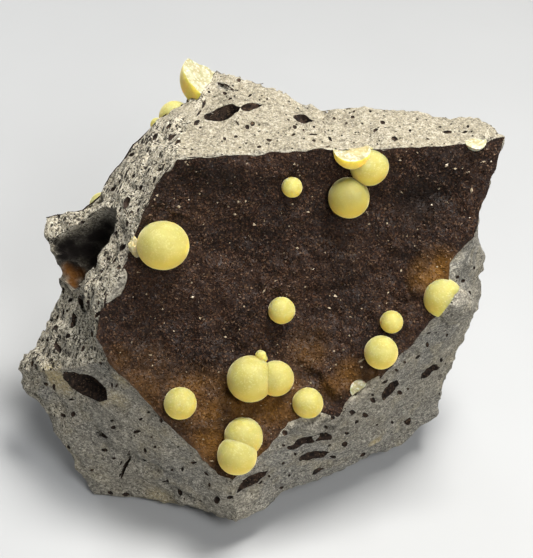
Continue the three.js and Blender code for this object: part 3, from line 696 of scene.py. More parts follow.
# Small vesicles scattered at random: how many, and the lengths of the smallest and the largest
HIDDEN_VESICLES = (300, (0.8, 4.2))
SHOWN_VESICLES = (260, (0.45, 0.9))
BAND_PITS = (330, (0.5, 2.4))
SMALL_MANY = 3                  # the higher, the more of them are near the smallest length
KEEP_APART = 1.15               # of the sum of the two half lengths
SLIMNESS = (0.4, 0.8)           # smallest and largest width in shares of the length
SCATTERED_DEPTH = 1.2           # of the half width
COARSE_HALF = 0.6               # those with a smaller half length are made of fewer facets


def scatter(points, triangles, weights, count):
    """Random places on a mesh, with each one's triangle"""
    areas = np.linalg.norm(triangle_areas(points, triangles), axis=1) * weights
    chosen = RANDOM.choice(len(triangles), count, p=areas / areas.sum())
    share = np.sort(RANDOM.random((count, 2)), axis=1)
    weights = np.stack([share[:, 0], share[:, 1] - share[:, 0], 1 - share[:, 1]], 1)
    return (points[triangles[chosen]] * weights[:, :, None]).sum(axis=1), chosen


def scattered_vesicles(points, triangles, weights, count, sizes, flow, taken, first_layer):
    """Small vesicles at random, drawn out along the flow of the lava and clear of the ones already there"""
    places, chosen = scatter(points, triangles, weights, count)
    normals = unit(triangle_areas(points, triangles))[chosen]
    smallest, largest = sizes
    lengths = smallest + (largest - smallest) * RANDOM.random(count) ** SMALL_MANY
    made = []
    for n in range(count):
        half = lengths[n] / 2
        if any(np.linalg.norm(places[n] - centre) <= KEEP_APART * (half + reach) for centre, reach in taken):
            continue
        along = unit(flow) + RANDOM.normal(0, FLOW_STRAY, 3)
        along = unit(along - along @ normals[n] * normals[n])
        across = np.cross(normals[n], along)
        narrow = RANDOM.uniform(*SLIMNESS)
        axes = [along * half, across * half * narrow, normals[n] * half * narrow * SCATTERED_DEPTH]
        level = 2 if half > COARSE_HALF else 1
        made.append(rough_body(places[n], axes, level, first_layer + n, VOID_ROUGH, SHARP))
        taken.append((places[n], half))
    return made


def broken_surface(plain, plain_points, plain_triangles, lining):
    """The skin of the block, refined, rounded off and roughened"""
    limits = rock_limits(plain_points, plain_triangles, lining)
    covered = np.ones(len(plain_points), bool)
    covered[plain_triangles[limits != HIDDEN_DETAIL]] = False
    lowered = LINING_BED * vertex_normals(plain_points, plain_triangles) * covered[:, None]
    points, triangles = refine(np.column_stack([plain_points - lowered, covered]), plain_triangles, limits)
    points, fixed = smooth(points[:, :3], triangles, SMOOTH_ROUNDS, points[:, 3] > WHOLLY)
    normals = vertex_normals(points, triangles)
    chipped = np.ones(len(points))
    chipped[fixed] = np.where(lining.distances(points[fixed]) < RIM_REACH, RIM_SHARE, EDGE_SHARE)
    steady = ramp(points[:, 2], *GROUND_FADE) * chipped
    height = steady * (relief(points, band_share(normals)) + facets(points, -(normals @ TO_CAMERA)))
    for _, away, radius, tall in around_spots(points, plain, SWELLS):
        height += steady * tall * ramp(away, radius, 0)
    points = shake(points) + normals * height[:, None]
    points[:, 2] = np.maximum(points[:, 2], 0)
    return points, triangles


def lumps_and_hollow(body, plain):
    """The block with its lips and lump of rock, and with the hollow on the left cut to its full shape"""
    for n, lip in enumerate(KNUCKLES):
        body = combine(body, knuckle(plain, *lip, LAYERS["knuckles"] + n), "UNION")
    middle, axes = SHOULDER_ROCK
    rock = rough_body(DRAWING_ORIGIN + middle, axes, 5, LAYERS["shoulder rock"], SHOULDER_ROUGH)
    body = combine(body, as_rock(rock), "UNION")
    for lip in back_lips():
        body = combine(body, lip, "UNION")
    for lobe in HOLLOW_LOBES:
        body = combine(body, as_rock(large_void(*lobe, LAYERS["hollow"], HOLLOW_EASE, 0)), "DIFFERENCE")
    x, y, length, width, tilt, depth = HOLLOW_TIP
    place, facing = plain.at_pixel(x, y)
    axes = [*outline_axes(place, facing, length, width, tilt), facing * depth]
    tip = rough_body(place, axes, 4, LAYERS["hollow tip"], VOID_ROUGH, POINTED)
    return combine(body, as_rock(tip), "DIFFERENCE")


def middle_and_reach(body):
    """Where a void lies, and its half length"""
    return body[0].mean(axis=0), np.ptp(body[0], axis=0).max() / 2


def all_voids(points, triangles, lining, fine, plain):
    """The large voids, the vesicles that the photograph shows, and the ones scattered between them"""
    voids = [large_void(*void, LAYERS["large voids"] + n) for n, void in enumerate(LARGE_VOIDS)]
    for n, vesicle in enumerate(VESICLES):
        made = seen_vesicle(fine, plain, *vesicle, LAYERS["vesicles"] + n)
        if made is not None:
            voids.append(made)
    taken = [middle_and_reach(part) for part in voids]
    facing = unit(triangle_areas(points, triangles))
    middles = points[triangles].mean(axis=1)
    clear = np.array([lining.nearest(point)[2] > LINING_CLEAR for point in middles])
    bare = clear & (middles[:, 2] > GROUND_CLEAR)
    hidden = bare & (facing @ TO_CAMERA < 0)
    for weights, kind, flow, name in (
        (bare * band_share(facing), BAND_PITS, BAND_FLOW, "band pits"),
        (hidden, HIDDEN_VESICLES, FLOW, "hidden vesicles"),
        (bare & ~hidden, SHOWN_VESICLES, FLOW, "shown vesicles"),
    ):
        voids += scattered_vesicles(points, triangles, weights, *kind, flow, taken, LAYERS[name])
    return voids


def build_rock(lining):
    """The broken rock, its skin before the voids are cut, and the plain block"""
    plain_points, plain_triangles = node_arrays("basalt_matrix")
    plain = Surface(plain_points, plain_triangles)
    points, triangles = broken_surface(plain, plain_points, plain_triangles, lining)
    fine = Surface(points, triangles)
    body = lumps_and_hollow((points, triangles, np.zeros(len(triangles), int)), plain)
    voids = all_voids(points, triangles, lining, fine, plain)
    return combine(body, joined(voids), "DIFFERENCE"), fine, plain


# The druse that lines the vugs

LINING_LUMPS = [(8.0, 0.50), (3.6, 0.38), (1.7, 0.24)]
LINING_RIM = (0.5, 1.2)         # how far the rim of the plain lining lies from the corners of the rock
UPPER_RIM = 0.85                # the upper side of that rim lies farther off than this
RIM_PROUD = 0.12                # how far that side stands out from the rock
# Crystals of the druse: size of the smallest and the largest, and how many of them the front lining has
BLOCKY_GRAINS = ((0.30, 0.80), 11000)
POINTED_GRAINS = ((0.26, 0.54), 16500)
BACK_SHARE = 0.3                # as many on the lining at the back
SMALL_GRAINS = 1.6              # the higher, the more grains are near the smallest size
GRAIN_SHAPE = (0.75, 1.35)      # shortest and longest axis in shares of the size
RIM_GRAINS = (0.8, 0.45)        # nearer to the rim than this they are smaller, down to this share
PALE_SHARE = 0.007              # of the grains are white

# Rough knobs of the lining: place in pixels, radius and height in millimetres
KNOBS = [
    (210, 360, 2.2, 1.3), (206, 367, 1.6, 0.9), (396, 245, 2, 1.2), (415, 290, 2.6, 1.5),
    (408, 296, 1.8, 1), (272, 268, 2.4, 1.1), (262, 281, 2, 0.8), (277, 283, 2.2, 1), (236, 200, 2.4, 0.7),
    (312, 366, 2.6, 1.9), (321, 374, 2.8, 2.2), (330, 383, 3, 2.4), (339, 391, 2.8, 2.2),
    (346, 398, 2.4, 1.8), (303, 360, 2.2, 1.2), (190, 300, 2.6, 0.8), (170, 330, 3, 0.9),
    (130, 320, 2.6, 0.8), (355, 330, 2.4, 0.8), (320, 250, 3, 0.7), (370, 215, 3, 0.7), (300, 325, 2, 0.8),
    (240, 320, 2.6, 0.7), (445, 185, 2.4, 0.8), (180, 210, 2.4, 0.6),
]
# Rust-coloured patches of the lining, and dark patches of painted shade, mostly in its upper part under the
# top rim: place in pixels, radius in millimetres, strength
RUST = [
    (432, 273, 7.5, 1), (440, 262, 6, 0.8), (420, 280, 5, 0.5), (215, 435, 9, 0.9), (262, 405, 9.5, 0.9),
    (215, 390, 7, 0.5), (215, 440, 9, 0.8), (330, 388, 5, 0.5), (350, 375, 6, 0.6), (240, 405, 7, 0.8),
    (140, 380, 7, 0.3), (118, 360, 6, 0.3), (148, 396, 7, 0.4), (310, 350, 8, 0.35), (370, 370, 5, 0.5),
    (230, 420, 16, 0.75), (192, 402, 12, 0.6), (285, 400, 11, 0.6), (240, 450, 11, 0.85),
    (150, 365, 9, 0.15),
]
PAINTED_SHADE_PATCHES = [
    (420, 200, 10, 0.9), (450, 160, 8, 0.5), (220, 180, 10, 0.5), (340, 270, 9, 0.4), (250, 430, 2.5, 0.6),
    (160, 190, 8, 0.5), (275, 385, 6, 0.2), (410, 250, 5, 0.5),
]
# White crystals that stand on the lining: place in pixels, length and width in pixels, and tilt in degrees
NEEDLES = [
    (361, 361, 9, 2.2, 35), (264, 291, 6, 1.8, 62), (137, 272, 7, 1.8, -5), (471.5, 190.5, 7, 3, 85),
    (483, 162, 7, 1.8, 20), (446.6, 165, 5, 3.5, 60), (455, 168.5, 4, 3, 0), (350, 316.5, 5, 2.2, -40),
    (329, 308, 5, 2, -20), (308, 212, 4, 2, 0), (369, 224, 3, 2.4, 20), (387, 223.5, 3, 2.4, 50),
    (297, 248, 4, 2.6, 0), (225.5, 337, 3.5, 2.6, 0), (401.5, 192, 4, 2, -40), (162, 309, 3.4, 2.8, 0),
    (212, 461, 6, 1.6, 5), (351, 178, 4, 2, 30), (235, 214, 3.4, 2.6, 0), (437, 267, 3, 2.4, 0),
    (400, 160, 3.4, 2.4, 0), (178.5, 207, 4.4, 3.6, 0), (192, 297, 4.4, 3.2, 20), (292, 204, 3, 2.2, 0),
]
NEEDLE_RISE = 0.15              # how far they point away from the lining
NEEDLE_LIFT = 0.25              # of their width, so that they lie on it
SPOT_CORE = 0.15                # of the radius of a soft patch has its full strength


def spot_values(points, fine, spots):
    """Largest of several soft round patches at every point"""
    values = np.zeros(len(points))
    for _, away, radius, strength in around_spots(points, fine, spots):
        values = np.maximum(values, strength * ramp(away, radius, SPOT_CORE * radius))
    return values


def random_turns(count):
    """Random rotations as matrices"""
    w, x, y, z = unit(RANDOM.normal(size=(count, 4))).T
    return np.stack([
        1 - 2 * (y * y + z * z), 2 * (x * y - w * z), 2 * (x * z + w * y),
        2 * (x * y + w * z), 1 - 2 * (x * x + z * z), 2 * (y * z - w * x),
        2 * (x * z - w * y), 2 * (y * z + w * x), 1 - 2 * (x * x + y * y),
    ], axis=1).reshape(-1, 3, 3)


# Forms of the crystals
OCTAHEDRON = np.array([[1, 0, 0], [-1, 0, 0], [0, 1, 0], [0, -1, 0], [0, 0, 1], [0, 0, -1]], float)
OCTAHEDRON_FACES = np.array([
    [0, 2, 4], [2, 1, 4], [1, 3, 4], [3, 0, 4], [2, 0, 5], [1, 2, 5], [3, 1, 5], [0, 3, 5],
])
TETRAHEDRON = np.array([[1, 1, 1], [1, -1, -1], [-1, 1, -1], [-1, -1, 1]], float)
TETRAHEDRON_FACES = np.array([[0, 1, 2], [0, 3, 1], [0, 2, 3], [1, 3, 2]])


def crystals(places, halves, turns, form=OCTAHEDRON, faces=OCTAHEDRON_FACES):
    """Flat-faced crystals as one set of points and triangles"""
    points = np.einsum("kij,kjl->kil", form * halves[:, None, :], turns) + places[:, None, :]
    triangles = faces + len(form) * np.arange(len(places))[:, None, None]
    return points.reshape(-1, 3), triangles.reshape(-1, 3)


def grains(points, triangles, upward, rim, sizes, count, form, faces):
    """Crystals scattered over the lining, smaller at its rim, each with one slot and one tone"""
    places, _ = scatter(points, triangles, upward, count)
    smallest, largest = sizes
    size = smallest + (largest - smallest) * RANDOM.random(count) ** SMALL_GRAINS
    near_rim, least = RIM_GRAINS
    size *= np.clip(rim.distances(places) / near_rim, least, 1)
    halves = size[:, None] / 2 * RANDOM.uniform(*GRAIN_SHAPE, (count, 3))
    slots = np.repeat(RANDOM.random(count) < PALE_SHARE, len(faces)).astype(int)
    tones = np.repeat(RANDOM.random(count), len(form))
    return (*crystals(places, halves, random_turns(count), form, faces), slots), tones


def needle_crystals(fine):
    """The larger white crystals, each lying along the lining where the photograph shows it"""
    places, halves, turns = [], [], []
    for x, y, length, width, tilt in NEEDLES:
        hit = fine.at_pixel(x, y)
        if hit is None:
            continue
        place, normal = hit
        pixel = np.linalg.norm(place - CAMERA_PLACE) / FOCAL_PIXELS
        angle = math.radians(tilt)
        flat = np.array([math.cos(angle), 0, math.sin(angle)])
        flat = unit(flat - flat @ TO_CAMERA * TO_CAMERA + NEEDLE_RISE * normal)
        across = unit(np.cross(normal, flat))
        places.append(place + NEEDLE_LIFT * width * pixel * normal)
        halves.append([length / 2 * pixel, width / 2 * pixel, width / 2 * pixel])
        turns.append([flat, across, np.cross(flat, across)])
    return crystals(np.array(places), np.array(halves), np.array(turns))


# The lining's lumps set in between these distances from its rim
LUMPS_INWARD = (0.2, 3.5)
# How far the shown side of the lining looks the way its vug opens, and the least for a place of a grain
SHOWN_SIDE = 0.2
GRAIN_SIDE = 0.15
# A knob is this share of its height all over, and the rest of it is noise of the given size
KNOB_EVEN = 0.7
KNOB_UNEVEN = 0.5
KNOB_SIZE = 1.3
LINING_TONE = 0.35              # of the ground between the grains


def bedded_lining(name, facing, plain_rock):
    """The plain lining with its rim drawn to the rock's corners: points, triangles and the rim's surface"""
    points, triangles = node_arrays(name)
    away = np.linalg.norm(points[:, None] - plain_rock[None], axis=2)
    gap, corner = away.min(axis=1), away.argmin(axis=1)
    at_rim = (gap > LINING_RIM[0]) & (gap < LINING_RIM[1])
    lifted = np.where(gap > UPPER_RIM, RIM_PROUD, 0)
    points[at_rim] = plain_rock[corner[at_rim]] + facing * lifted[at_rim, None]
    rim = Surface(points, triangles[at_rim[triangles].all(axis=1)])
    upward = triangle_areas(points, triangles) @ facing > 0
    under = np.ones(len(points), bool)
    under[triangles[upward]] = False
    under &= ~at_rim
    points = np.column_stack([points - LINING_BED / 2 * facing * under[:, None], under])
    points, triangles = refine(points, triangles, np.where(upward, LINING_DETAIL, HIDDEN_DETAIL))
    points, _ = smooth(points[:, :3], triangles, SMOOTH_ROUNDS, points[:, 3] > 0)
    return points, triangles, rim


def knobs(points, triangles):
    """Height of the rough knobs of the front lining"""
    height = np.zeros(len(points))
    for n, away, radius, tall in around_spots(points, Surface(points, triangles), KNOBS):
        uneven = KNOB_EVEN + KNOB_UNEVEN * noise(points, KNOB_SIZE, LAYERS["knobs"] + n)
        height += ramp(away, radius, 0) * tall * uneven
    return height


def build_lining(name, facing, share, plain_rock, is_seen):
    """The crust of a vug with its grains, the tone of each point, and its fine surface. Only the lining that
    the photograph shows gets knobs and needles."""
    points, triangles, rim = bedded_lining(name, facing, plain_rock)
    normals = vertex_normals(points, triangles)
    inner = ramp(rim.distances(points), *LUMPS_INWARD)
    outer_side = normals @ facing > SHOWN_SIDE
    height = layered_noise(points, LINING_LUMPS, LAYERS["lining"])
    if is_seen:
        height += knobs(points, triangles)
    height *= inner * outer_side
    points = shake(points) + normals * height[:, None]
    fine = Surface(points, triangles)

    upward = unit(triangle_areas(points, triangles)) @ facing > GRAIN_SIDE
    parts = [(points, triangles, np.zeros(len(triangles), int))]
    tones = [np.full(len(points), LINING_TONE)]
    for (sizes, count), form, faces in ((BLOCKY_GRAINS, OCTAHEDRON, OCTAHEDRON_FACES),
                                        (POINTED_GRAINS, TETRAHEDRON, TETRAHEDRON_FACES)):
        made, tone = grains(points, triangles, upward, rim, sizes, int(count * share), form, faces)
        parts.append(made)
        tones.append(tone)
    if is_seen:
        needle_points, needle_triangles = needle_crystals(fine)
        parts.append((needle_points, needle_triangles, np.ones(len(needle_triangles), int)))
        tones.append(np.ones(len(needle_points)))
    return joined(parts), np.concatenate(tones), fine


# The calcite balls

# The break of the ball that ends flush with the top face, and its back, where it meets the rim: a point of
# each plane and the way it looks
FRESH_BREAK = ((20.3, 3.6, 95.45), (0, 0, 1))
FRESH_BACK = ((20.3, 4.5, 95.4), (0, 0.95, -0.3))
BALLS = [
    # node, its spheres as centre and radius, and the planes along which the first one is broken
    ("calcite_ball_top_pair", [((20.3, 3.6, 95.2), 4.5), ((24.6, 3.6, 90.4), 4.7)],
     [FRESH_BREAK, FRESH_BACK]),
    ("calcite_ball_under_top_pair", [((19.8, -0.4, 83.9), 5)], []),
    ("calcite_ball_small_upper", [((6.1, -0.2, 87), 2.5)], []),
    ("calcite_ball_left_rim", [((-24.7, -10.5, 77.5), 6)], []),
    ("calcite_ball_lower_left", [((-21, -29.2, 42.8), 4)], []),
    ("calcite_ball_centre_pair", [((-4, -25, 47), 5.7), ((2.3, -24.6, 46.8), 4.4),
                                  ((-1.4, -21.4, 51.4), 1.4), ((-0.7, -21.9, 50.9), 0.95)], []),
    ("calcite_ball_lip", [((10.1, -28.3, 42), 3.8)], []),
    ("calcite_ball_right", [((27.8, -22, 53.1), 4.1)], []),
    ("calcite_ball_right_small", [((30.4, -16.5, 58.1), 2.8)], []),
    ("calcite_ball_shoulder", [((42.9, -12.5, 62.3), 4.8)], []),
    ("calcite_ball_middle", [((3.7, -13.8, 59.4), 3.3)], []),
    ("calcite_ball_notch_pair", [((-7.2, -37, 32.7), 4.9), ((-5.6, -33, 35), 4.8)], []),
    ("calcite_flake_lip", [((22.7, -25.2, 43.6), 2.3)], [((22.7, -25.7, 44.0), (0, -0.8, 0.6))]),
    ("calcite_flake_right_tip", [((50.1, 7.4, 95.3), 2.6)],
     [((50.1, 6.2, 94.85), (0, -0.12, 0.99)), ((50.1, 8.0, 94.8), (0, 0.95, -0.3))]),
    ("calcite_ball_back_corner", [((-14.1, 31, 96.2), 7.5)],
     [((-20, 34.5, 100.1), (0.5, -0.05, 0.86)), ((-20, 34.5, 100.1), (0.42, 0.61, 0.67))]),
    ("calcite_ball_back_ridge", [((-22.7, 24, 89.7), 4), ((-27, 21.8, 89), 1.75)], []),
    ("calcite_ball_back_spike", [((-41.4, 15.5, 68.5), 3.2)], []),
]
# Balls that end at the rock in front of them: two pixels of the edge of that rock
ROCK_EDGES = {
    "calcite_ball_back_corner": ((217, 73), (200, 96)),
    "calcite_flake_lip": ((367, 383), (352, 398)),
}
# The largest ball is a little broader than it is high
OVAL = {"calcite_ball_left_rim": np.array([1.05, 1.0, 0.97])}
# The crust of contact between that ball and the rim: its middle and half axes
CONTACT = ([-31.2, -10.0, 76.4], [[1.4, 0, 0.5], [0, 1.6, 0], [-0.6, 0, 2.6]])
# The rounded lump of rock that the ball on the shoulder has grown against
SHOULDER_LUMP = ((58, -19.7, 54.3), 17.3)
# Roughness of a break and of the frosted skin, in layers of size and height, and how uneven a ball is
BREAK_RELIEF = [(3.6, 0.35), (1.6, 0.22), (0.8, 0.12)]
BALL_GRAIN = [(0.9, 0.022), (0.42, 0.020)]
BALL_SWELL = 0.012
SWELL_SIZE = 2.2
LARGE_BALL = 3.5                # balls of this radius or more are made of finer facets
# The slab that breaks a ball: half its width, the rows of points across it, and a way that no break looks
SLAB_HALF = 17.0
SLAB_ROWS = 70
SLAB_SIDE = [0.3, 1, 0.2]
CONTACT_ROUGH = 0.4
# How high on a ball the painted glow of light shining through its lower part sets in, and how low it is
# full, in shares of the radius
PAINTED_GLOW_BELOW = (-0.75, 0.85)
CRUST_SHARE = 1.04              # what lies farther out than this share of the radius is crust
CRUST_TONE = 0.62


def ball(centre, radius, layer, oval=1):
    """One ball, very slightly uneven, with a frosted skin"""
    sphere, triangles = SPHERES[6 if radius >= LARGE_BALL else 5]
    swell = 1 + BALL_SWELL * noise(sphere * LUMP_RADIUS, SWELL_SIZE, layer)
    grain = layered_noise(sphere * radius, BALL_GRAIN, layer + 1)
    points = DRAWING_ORIGIN + centre + sphere * (radius * swell + grain)[:, None] * oval
    return points, triangles, np.zeros(len(triangles), int)


def broken_slab(through, facing, layer):
    """A thick slab whose underside is a rough broken face through a point"""
    facing = unit(np.array(facing, float))
    side = unit(np.cross(facing, SLAB_SIDE))
    other = np.cross(facing, side)
    ticks = np.linspace(-SLAB_HALF, SLAB_HALF, SLAB_ROWS)
    u, v = (values.ravel() for values in np.meshgrid(ticks, ticks, indexing="ij"))
    base = DRAWING_ORIGIN + through + u[:, None] * side + v[:, None] * other
    base = base + facing * layered_noise(base, BREAK_RELIEF, layer)[:, None]
    top = base + facing * 2 * SLAB_HALF
    above = SLAB_ROWS * SLAB_ROWS
    number = np.arange(above).reshape(SLAB_ROWS, SLAB_ROWS)
    corners = (number[:-1, :-1], number[1:, :-1], number[1:, 1:], number[:-1, 1:])
    a, b, c, d = (part.ravel() for part in corners)
    under = np.vstack([np.stack([a, c, b], 1), np.stack([a, d, c], 1)])
    over = under[:, ::-1] + above
    border = np.concatenate([number[:-1, 0], number[-1, :-1], number[:0:-1, -1], number[0, :0:-1]])
    after = np.roll(border, -1)
    walls = np.vstack([np.stack([border, after, after + above], 1),
                       np.stack([border, after + above, border + above], 1)])
    triangles = np.vstack([under, over, walls])
    return np.vstack([base, top]), triangles, np.ones(len(triangles), int)


def build_ball(spheres, broken, layer, oval):
    """Balls grown together, the first of them broken along some planes"""
    parts = [ball(centre, radius, layer + 10 * n, oval) for n, (centre, radius) in enumerate(spheres)]
    body = parts[0]
    for through, facing in broken:
        body = combine(body, broken_slab(through, facing, layer + 7), "DIFFERENCE")
    for part in parts[1:]:
        body = combine(body, part, "UNION")
    return body


def edge_plane(centre, first, second):
    """The plane of sight along the edge of rock between two pixels, at a ball"""
    away = unit(np.cross(ray_through(*second), ray_through(*first)))
    centre = DRAWING_ORIGIN + centre
    return centre - DRAWING_ORIGIN - (centre - CAMERA_PLACE) @ away * away, away


def glow_and_crust_share(points, spheres):
    """How far down on its own ball each point lies, from 0 at the top to 1 at the bottom, for the painted
    glow of light through the lower part; points of the crust get a tone of their own
    """
    centres = DRAWING_ORIGIN + np.array([centre for centre, _ in spheres])
    sizes = np.array([radius for _, radius in spheres])
    away = points[:, None] - centres
    own = np.abs(np.linalg.norm(away, axis=2) / sizes - 1).argmin(axis=1)
    height = away[np.arange(len(points)), own, 2] / sizes[own]
    outside = away[np.arange(len(points)), own]
    crust = np.linalg.norm(outside, axis=1) > CRUST_SHARE * sizes[own]
    return np.where(crust, CRUST_TONE, ramp(-height, *PAINTED_GLOW_BELOW))


# Materials

def srgb(red, green_and_painted_shade, blue):
    """Colour of a shader from the colour as seen on a screen"""
    values = np.array([red, green_and_painted_shade, blue]) / 255
    return tuple(np.where(values <= 0.04045, values / 12.92, ((values + 0.055) / 1.055) ** 2.4))


# A pit fades in between these distances from the middle of its cell, in cells
PIT_RADIUS = (0.42, 0.28)


class Look:
    """A material and the nodes that make it"""

    def __init__(self, name):
        self.material = bpy.data.materials.new(name)
        self.material.use_nodes = True
        self.nodes = self.material.node_tree.nodes
        self.links = self.material.node_tree.links
        self.shader = self.nodes["Principled BSDF"]
        self.place = self.nodes.new("ShaderNodeTexCoord").outputs["Object"]

    def fill(self, socket, value):
        """Links a socket or sets it to a number or colour"""
        if isinstance(value, bpy.types.NodeSocket):
            self.links.new(value, socket)
        elif isinstance(value, tuple) and len(value) == 3 and len(socket.default_value) == 4:
            socket.default_value = (*value, 1)
        else:
            socket.default_value = value

    def node(self, kind, inputs, **settings):
        """A node of the material, its inputs filled"""
        made = self.nodes.new(kind)
        for name, value in settings.items():
            setattr(made, name, value)
        for name, value in inputs.items():
            self.fill(made.inputs[name], value)
        return made

    def stretched(self, along, times):
        """Coordinates in which a pattern is drawn out along a direction, or flattened with times below 1"""
        turn = Vector(along).to_track_quat("X", "Z").to_euler()
        inputs = {"Vector": self.place, "Rotation": turn[:], "Scale": (times, 1, 1)}
        return self.node("ShaderNodeMapping", inputs, vector_type="TEXTURE").outputs["Vector"]

    def noise(self, size, detail=3, place=None, roughness=0.5):
        """Cloudy noise around 0.5, its lumps about the given size in millimetres"""
        inputs = {"Vector": place or self.place, "Scale": 1 / (size * MM), "Detail": detail,
                  "Roughness": roughness}
        return self.node("ShaderNodeTexNoise", inputs).outputs["Fac"]

    def grains(self, size, place=None, number="Red"):
        """For grains of a given size, a random number of each, and the distance from its middle"""
        inputs = {"Vector": place or self.place, "Scale": 1 / (size * MM)}
        cells = self.node("ShaderNodeTexVoronoi", inputs).outputs
        numbers = self.node("ShaderNodeSeparateColor", {"Color": cells["Color"]}).outputs
        return numbers[number], cells["Distance"]

    def cells(self, size):
        """A random number for each of many small grains"""
        return self.grains(size)[0]

    def pits(self, size, place, share):
        """Small rounded pits in a share of the cells of a given size"""
        number, away = self.grains(size, place, "Green")
        return self.times(self.calculate("LESS_THAN", number, share), self.step(away, *PIT_RADIUS))

    def mask(self, name):
        """A value that the mesh carries at every point"""
        return self.node("ShaderNodeAttribute", {}, attribute_name=name).outputs["Fac"]

    def step(self, value, low, high, start=0.0, end=1.0):
        """Smooth step from start, where the value is low, to end, where it is high"""
        inputs = {"Value": value, "From Min": low, "From Max": high, "To Min": start, "To Max": end}
        return self.node("ShaderNodeMapRange", inputs, interpolation_type="SMOOTHSTEP").outputs["Result"]

    def sum(self, first, second):
        return self.calculate("ADD", first, second)

    def times(self, first, second):
        return self.calculate("MULTIPLY", first, second)

    def calculate(self, operation, first, second):
        """Number worked out from two others"""
        made = self.nodes.new("ShaderNodeMath")
        made.operation = operation
        self.fill(made.inputs[0], first)
        self.fill(made.inputs[1], second)
        return made.outputs[0]

    def blend(self, share, first, second):
        """Number between two others"""
        return self.sum(first, self.times(share, self.calculate("SUBTRACT", second, first)))

    def mix(self, share, first, second):
        """Colour between two others"""
        made = self.node("ShaderNodeMix", {}, data_type="RGBA")
        self.fill(made.inputs[0], share)
        self.fill(made.inputs[6], first)
        self.fill(made.inputs[7], second)
        return made.outputs[2]

    def bump(self, height, deep):
        """Fine relief, as deep as given in millimetres"""
        made = self.node("ShaderNodeBump", {"Height": height, "Distance": deep * MM, "Strength": 1.0})
        self.fill(self.shader.inputs["Normal"], made.outputs["Normal"])

    def flecks(self, base, size, low, high, share, colour):
        """The base colour with grains of another colour where their random number passes from low to high"""
        return self.mix(self.step(self.cells(size), low, high, 0, share), base, colour)

    def surface(self, inputs):
        """Fills inputs of the material's shader"""
        for name, value in inputs.items():
            self.fill(self.shader.inputs[name], value)


def basalt():
    """Grey basalt: blotches, layered shadows, speckle and pits, the places that differ, a painted highlight
    along the rim of the vug and painted shade in the hollow and the gaps
    """
    look = Look("basalt")
    coarse = look.mask("coarse")
    flat = look.mask("top")
    layered = look.stretched((0, 0, 1), 0.38)
    banded = look.stretched(tuple(BAND_FLOW), 2.2)
    streak = look.blend(coarse, look.noise(1.3, 5, layered, 0.68), look.noise(1.4, 4, banded, 0.65))
    rough = look.noise(0.75, 6, None, 0.72)
    wide = look.noise(24, 3)
    cloud = look.noise(6, 5)

    base = look.mix(look.step(wide, 0.38, 0.62), srgb(148, 143, 130), srgb(134, 132, 125))
    base = look.mix(look.step(cloud, 0.45, 0.7, 0, 0.45), base, srgb(164, 152, 122))
    shadow = look.step(look.noise(9, 4, layered), 0.5, 0.36, 0, 0.45)
    base = look.mix(shadow, base, srgb(112, 108, 100))
    base = look.mix(look.times(flat, 0.85), base, srgb(161, 153, 132))
    base = look.mix(look.times(coarse, 0.85), base, srgb(178, 170, 149))
    # painted highlight: a paler line along the rim where the rock meets the lining
    base = look.mix(look.times(look.mask("rim"), 0.5), base, srgb(190, 184, 166))
    tan = look.times(look.mask("tan"), look.step(streak, 0.3, 0.55, 0.5, 1.0))
    base = look.mix(tan, base, srgb(190, 172, 126))
    base = look.mix(look.times(look.mask("pale"), 0.6), base, srgb(166, 165, 150))
    shade = look.sum(look.times(streak, 0.5), look.times(rough, 0.5))
    dark = look.times(look.step(shade, 0.485, 0.43), look.sum(look.times(coarse, 0.4), 0.52))
    light = look.times(look.step(shade, 0.52, 0.57), look.sum(look.times(coarse, 0.35), 0.45))
    base = look.mix(dark, base, srgb(72, 68, 62))
    base = look.mix(light, base, srgb(208, 202, 184))
    strong = look.sum(look.times(coarse, 0.48), 0.38)
    pepper = look.times(look.step(look.cells(0.36), 0.74, 0.84), strong)
    salt = look.times(look.step(look.cells(0.3), 0.78, 0.88), strong)
    base = look.mix(pepper, base, srgb(54, 49, 44))
    base = look.mix(salt, base, srgb(226, 220, 204))
    pits = look.pits(0.85, layered, look.sum(look.times(coarse, 0.16), 0.08))
    band_pits = look.times(look.pits(1.05, banded, 0.36), coarse)
    pits = look.calculate("MAXIMUM", pits, band_pits)
    base = look.mix(look.times(pits, 0.92), base, srgb(30, 24, 20))
    # painted shade: darkens the hollow, the gaps between the lips and other places where shade falls
    base = look.mix(look.mask("deep"), base, srgb(22, 17, 15))
    base = look.mix(look.mask("rust"), base, look.mix(look.noise(2), srgb(122, 80, 32), srgb(86, 54, 24)))
    look.surface({"Base Color": base, "Roughness": 0.92, "Specular IOR Level": 0.2})
    relief_height = look.sum(shade, look.times(look.cells(0.36), 0.10))
    look.bump(look.calculate("SUBTRACT", relief_height, look.times(pits, 0.5)), 1.0)
    return look.material


def void_lining():
    """Dark brown skin inside the vesicles"""
    look = Look("void_lining")
    base = look.mix(look.step(look.noise(1.2, 4), 0.35, 0.7), srgb(24, 18, 15), srgb(64, 49, 39))
    base = look.flecks(base, 0.4, 0.7, 0.95, 0.6, srgb(16, 12, 10))
    base = look.flecks(base, 0.33, 0.85, 0.95, 0.5, srgb(120, 98, 74))
    look.surface({"Base Color": base, "Roughness": 0.85, "Specular IOR Level": 0.3})
    look.bump(look.noise(0.6, 4), 0.25)
    return look.material


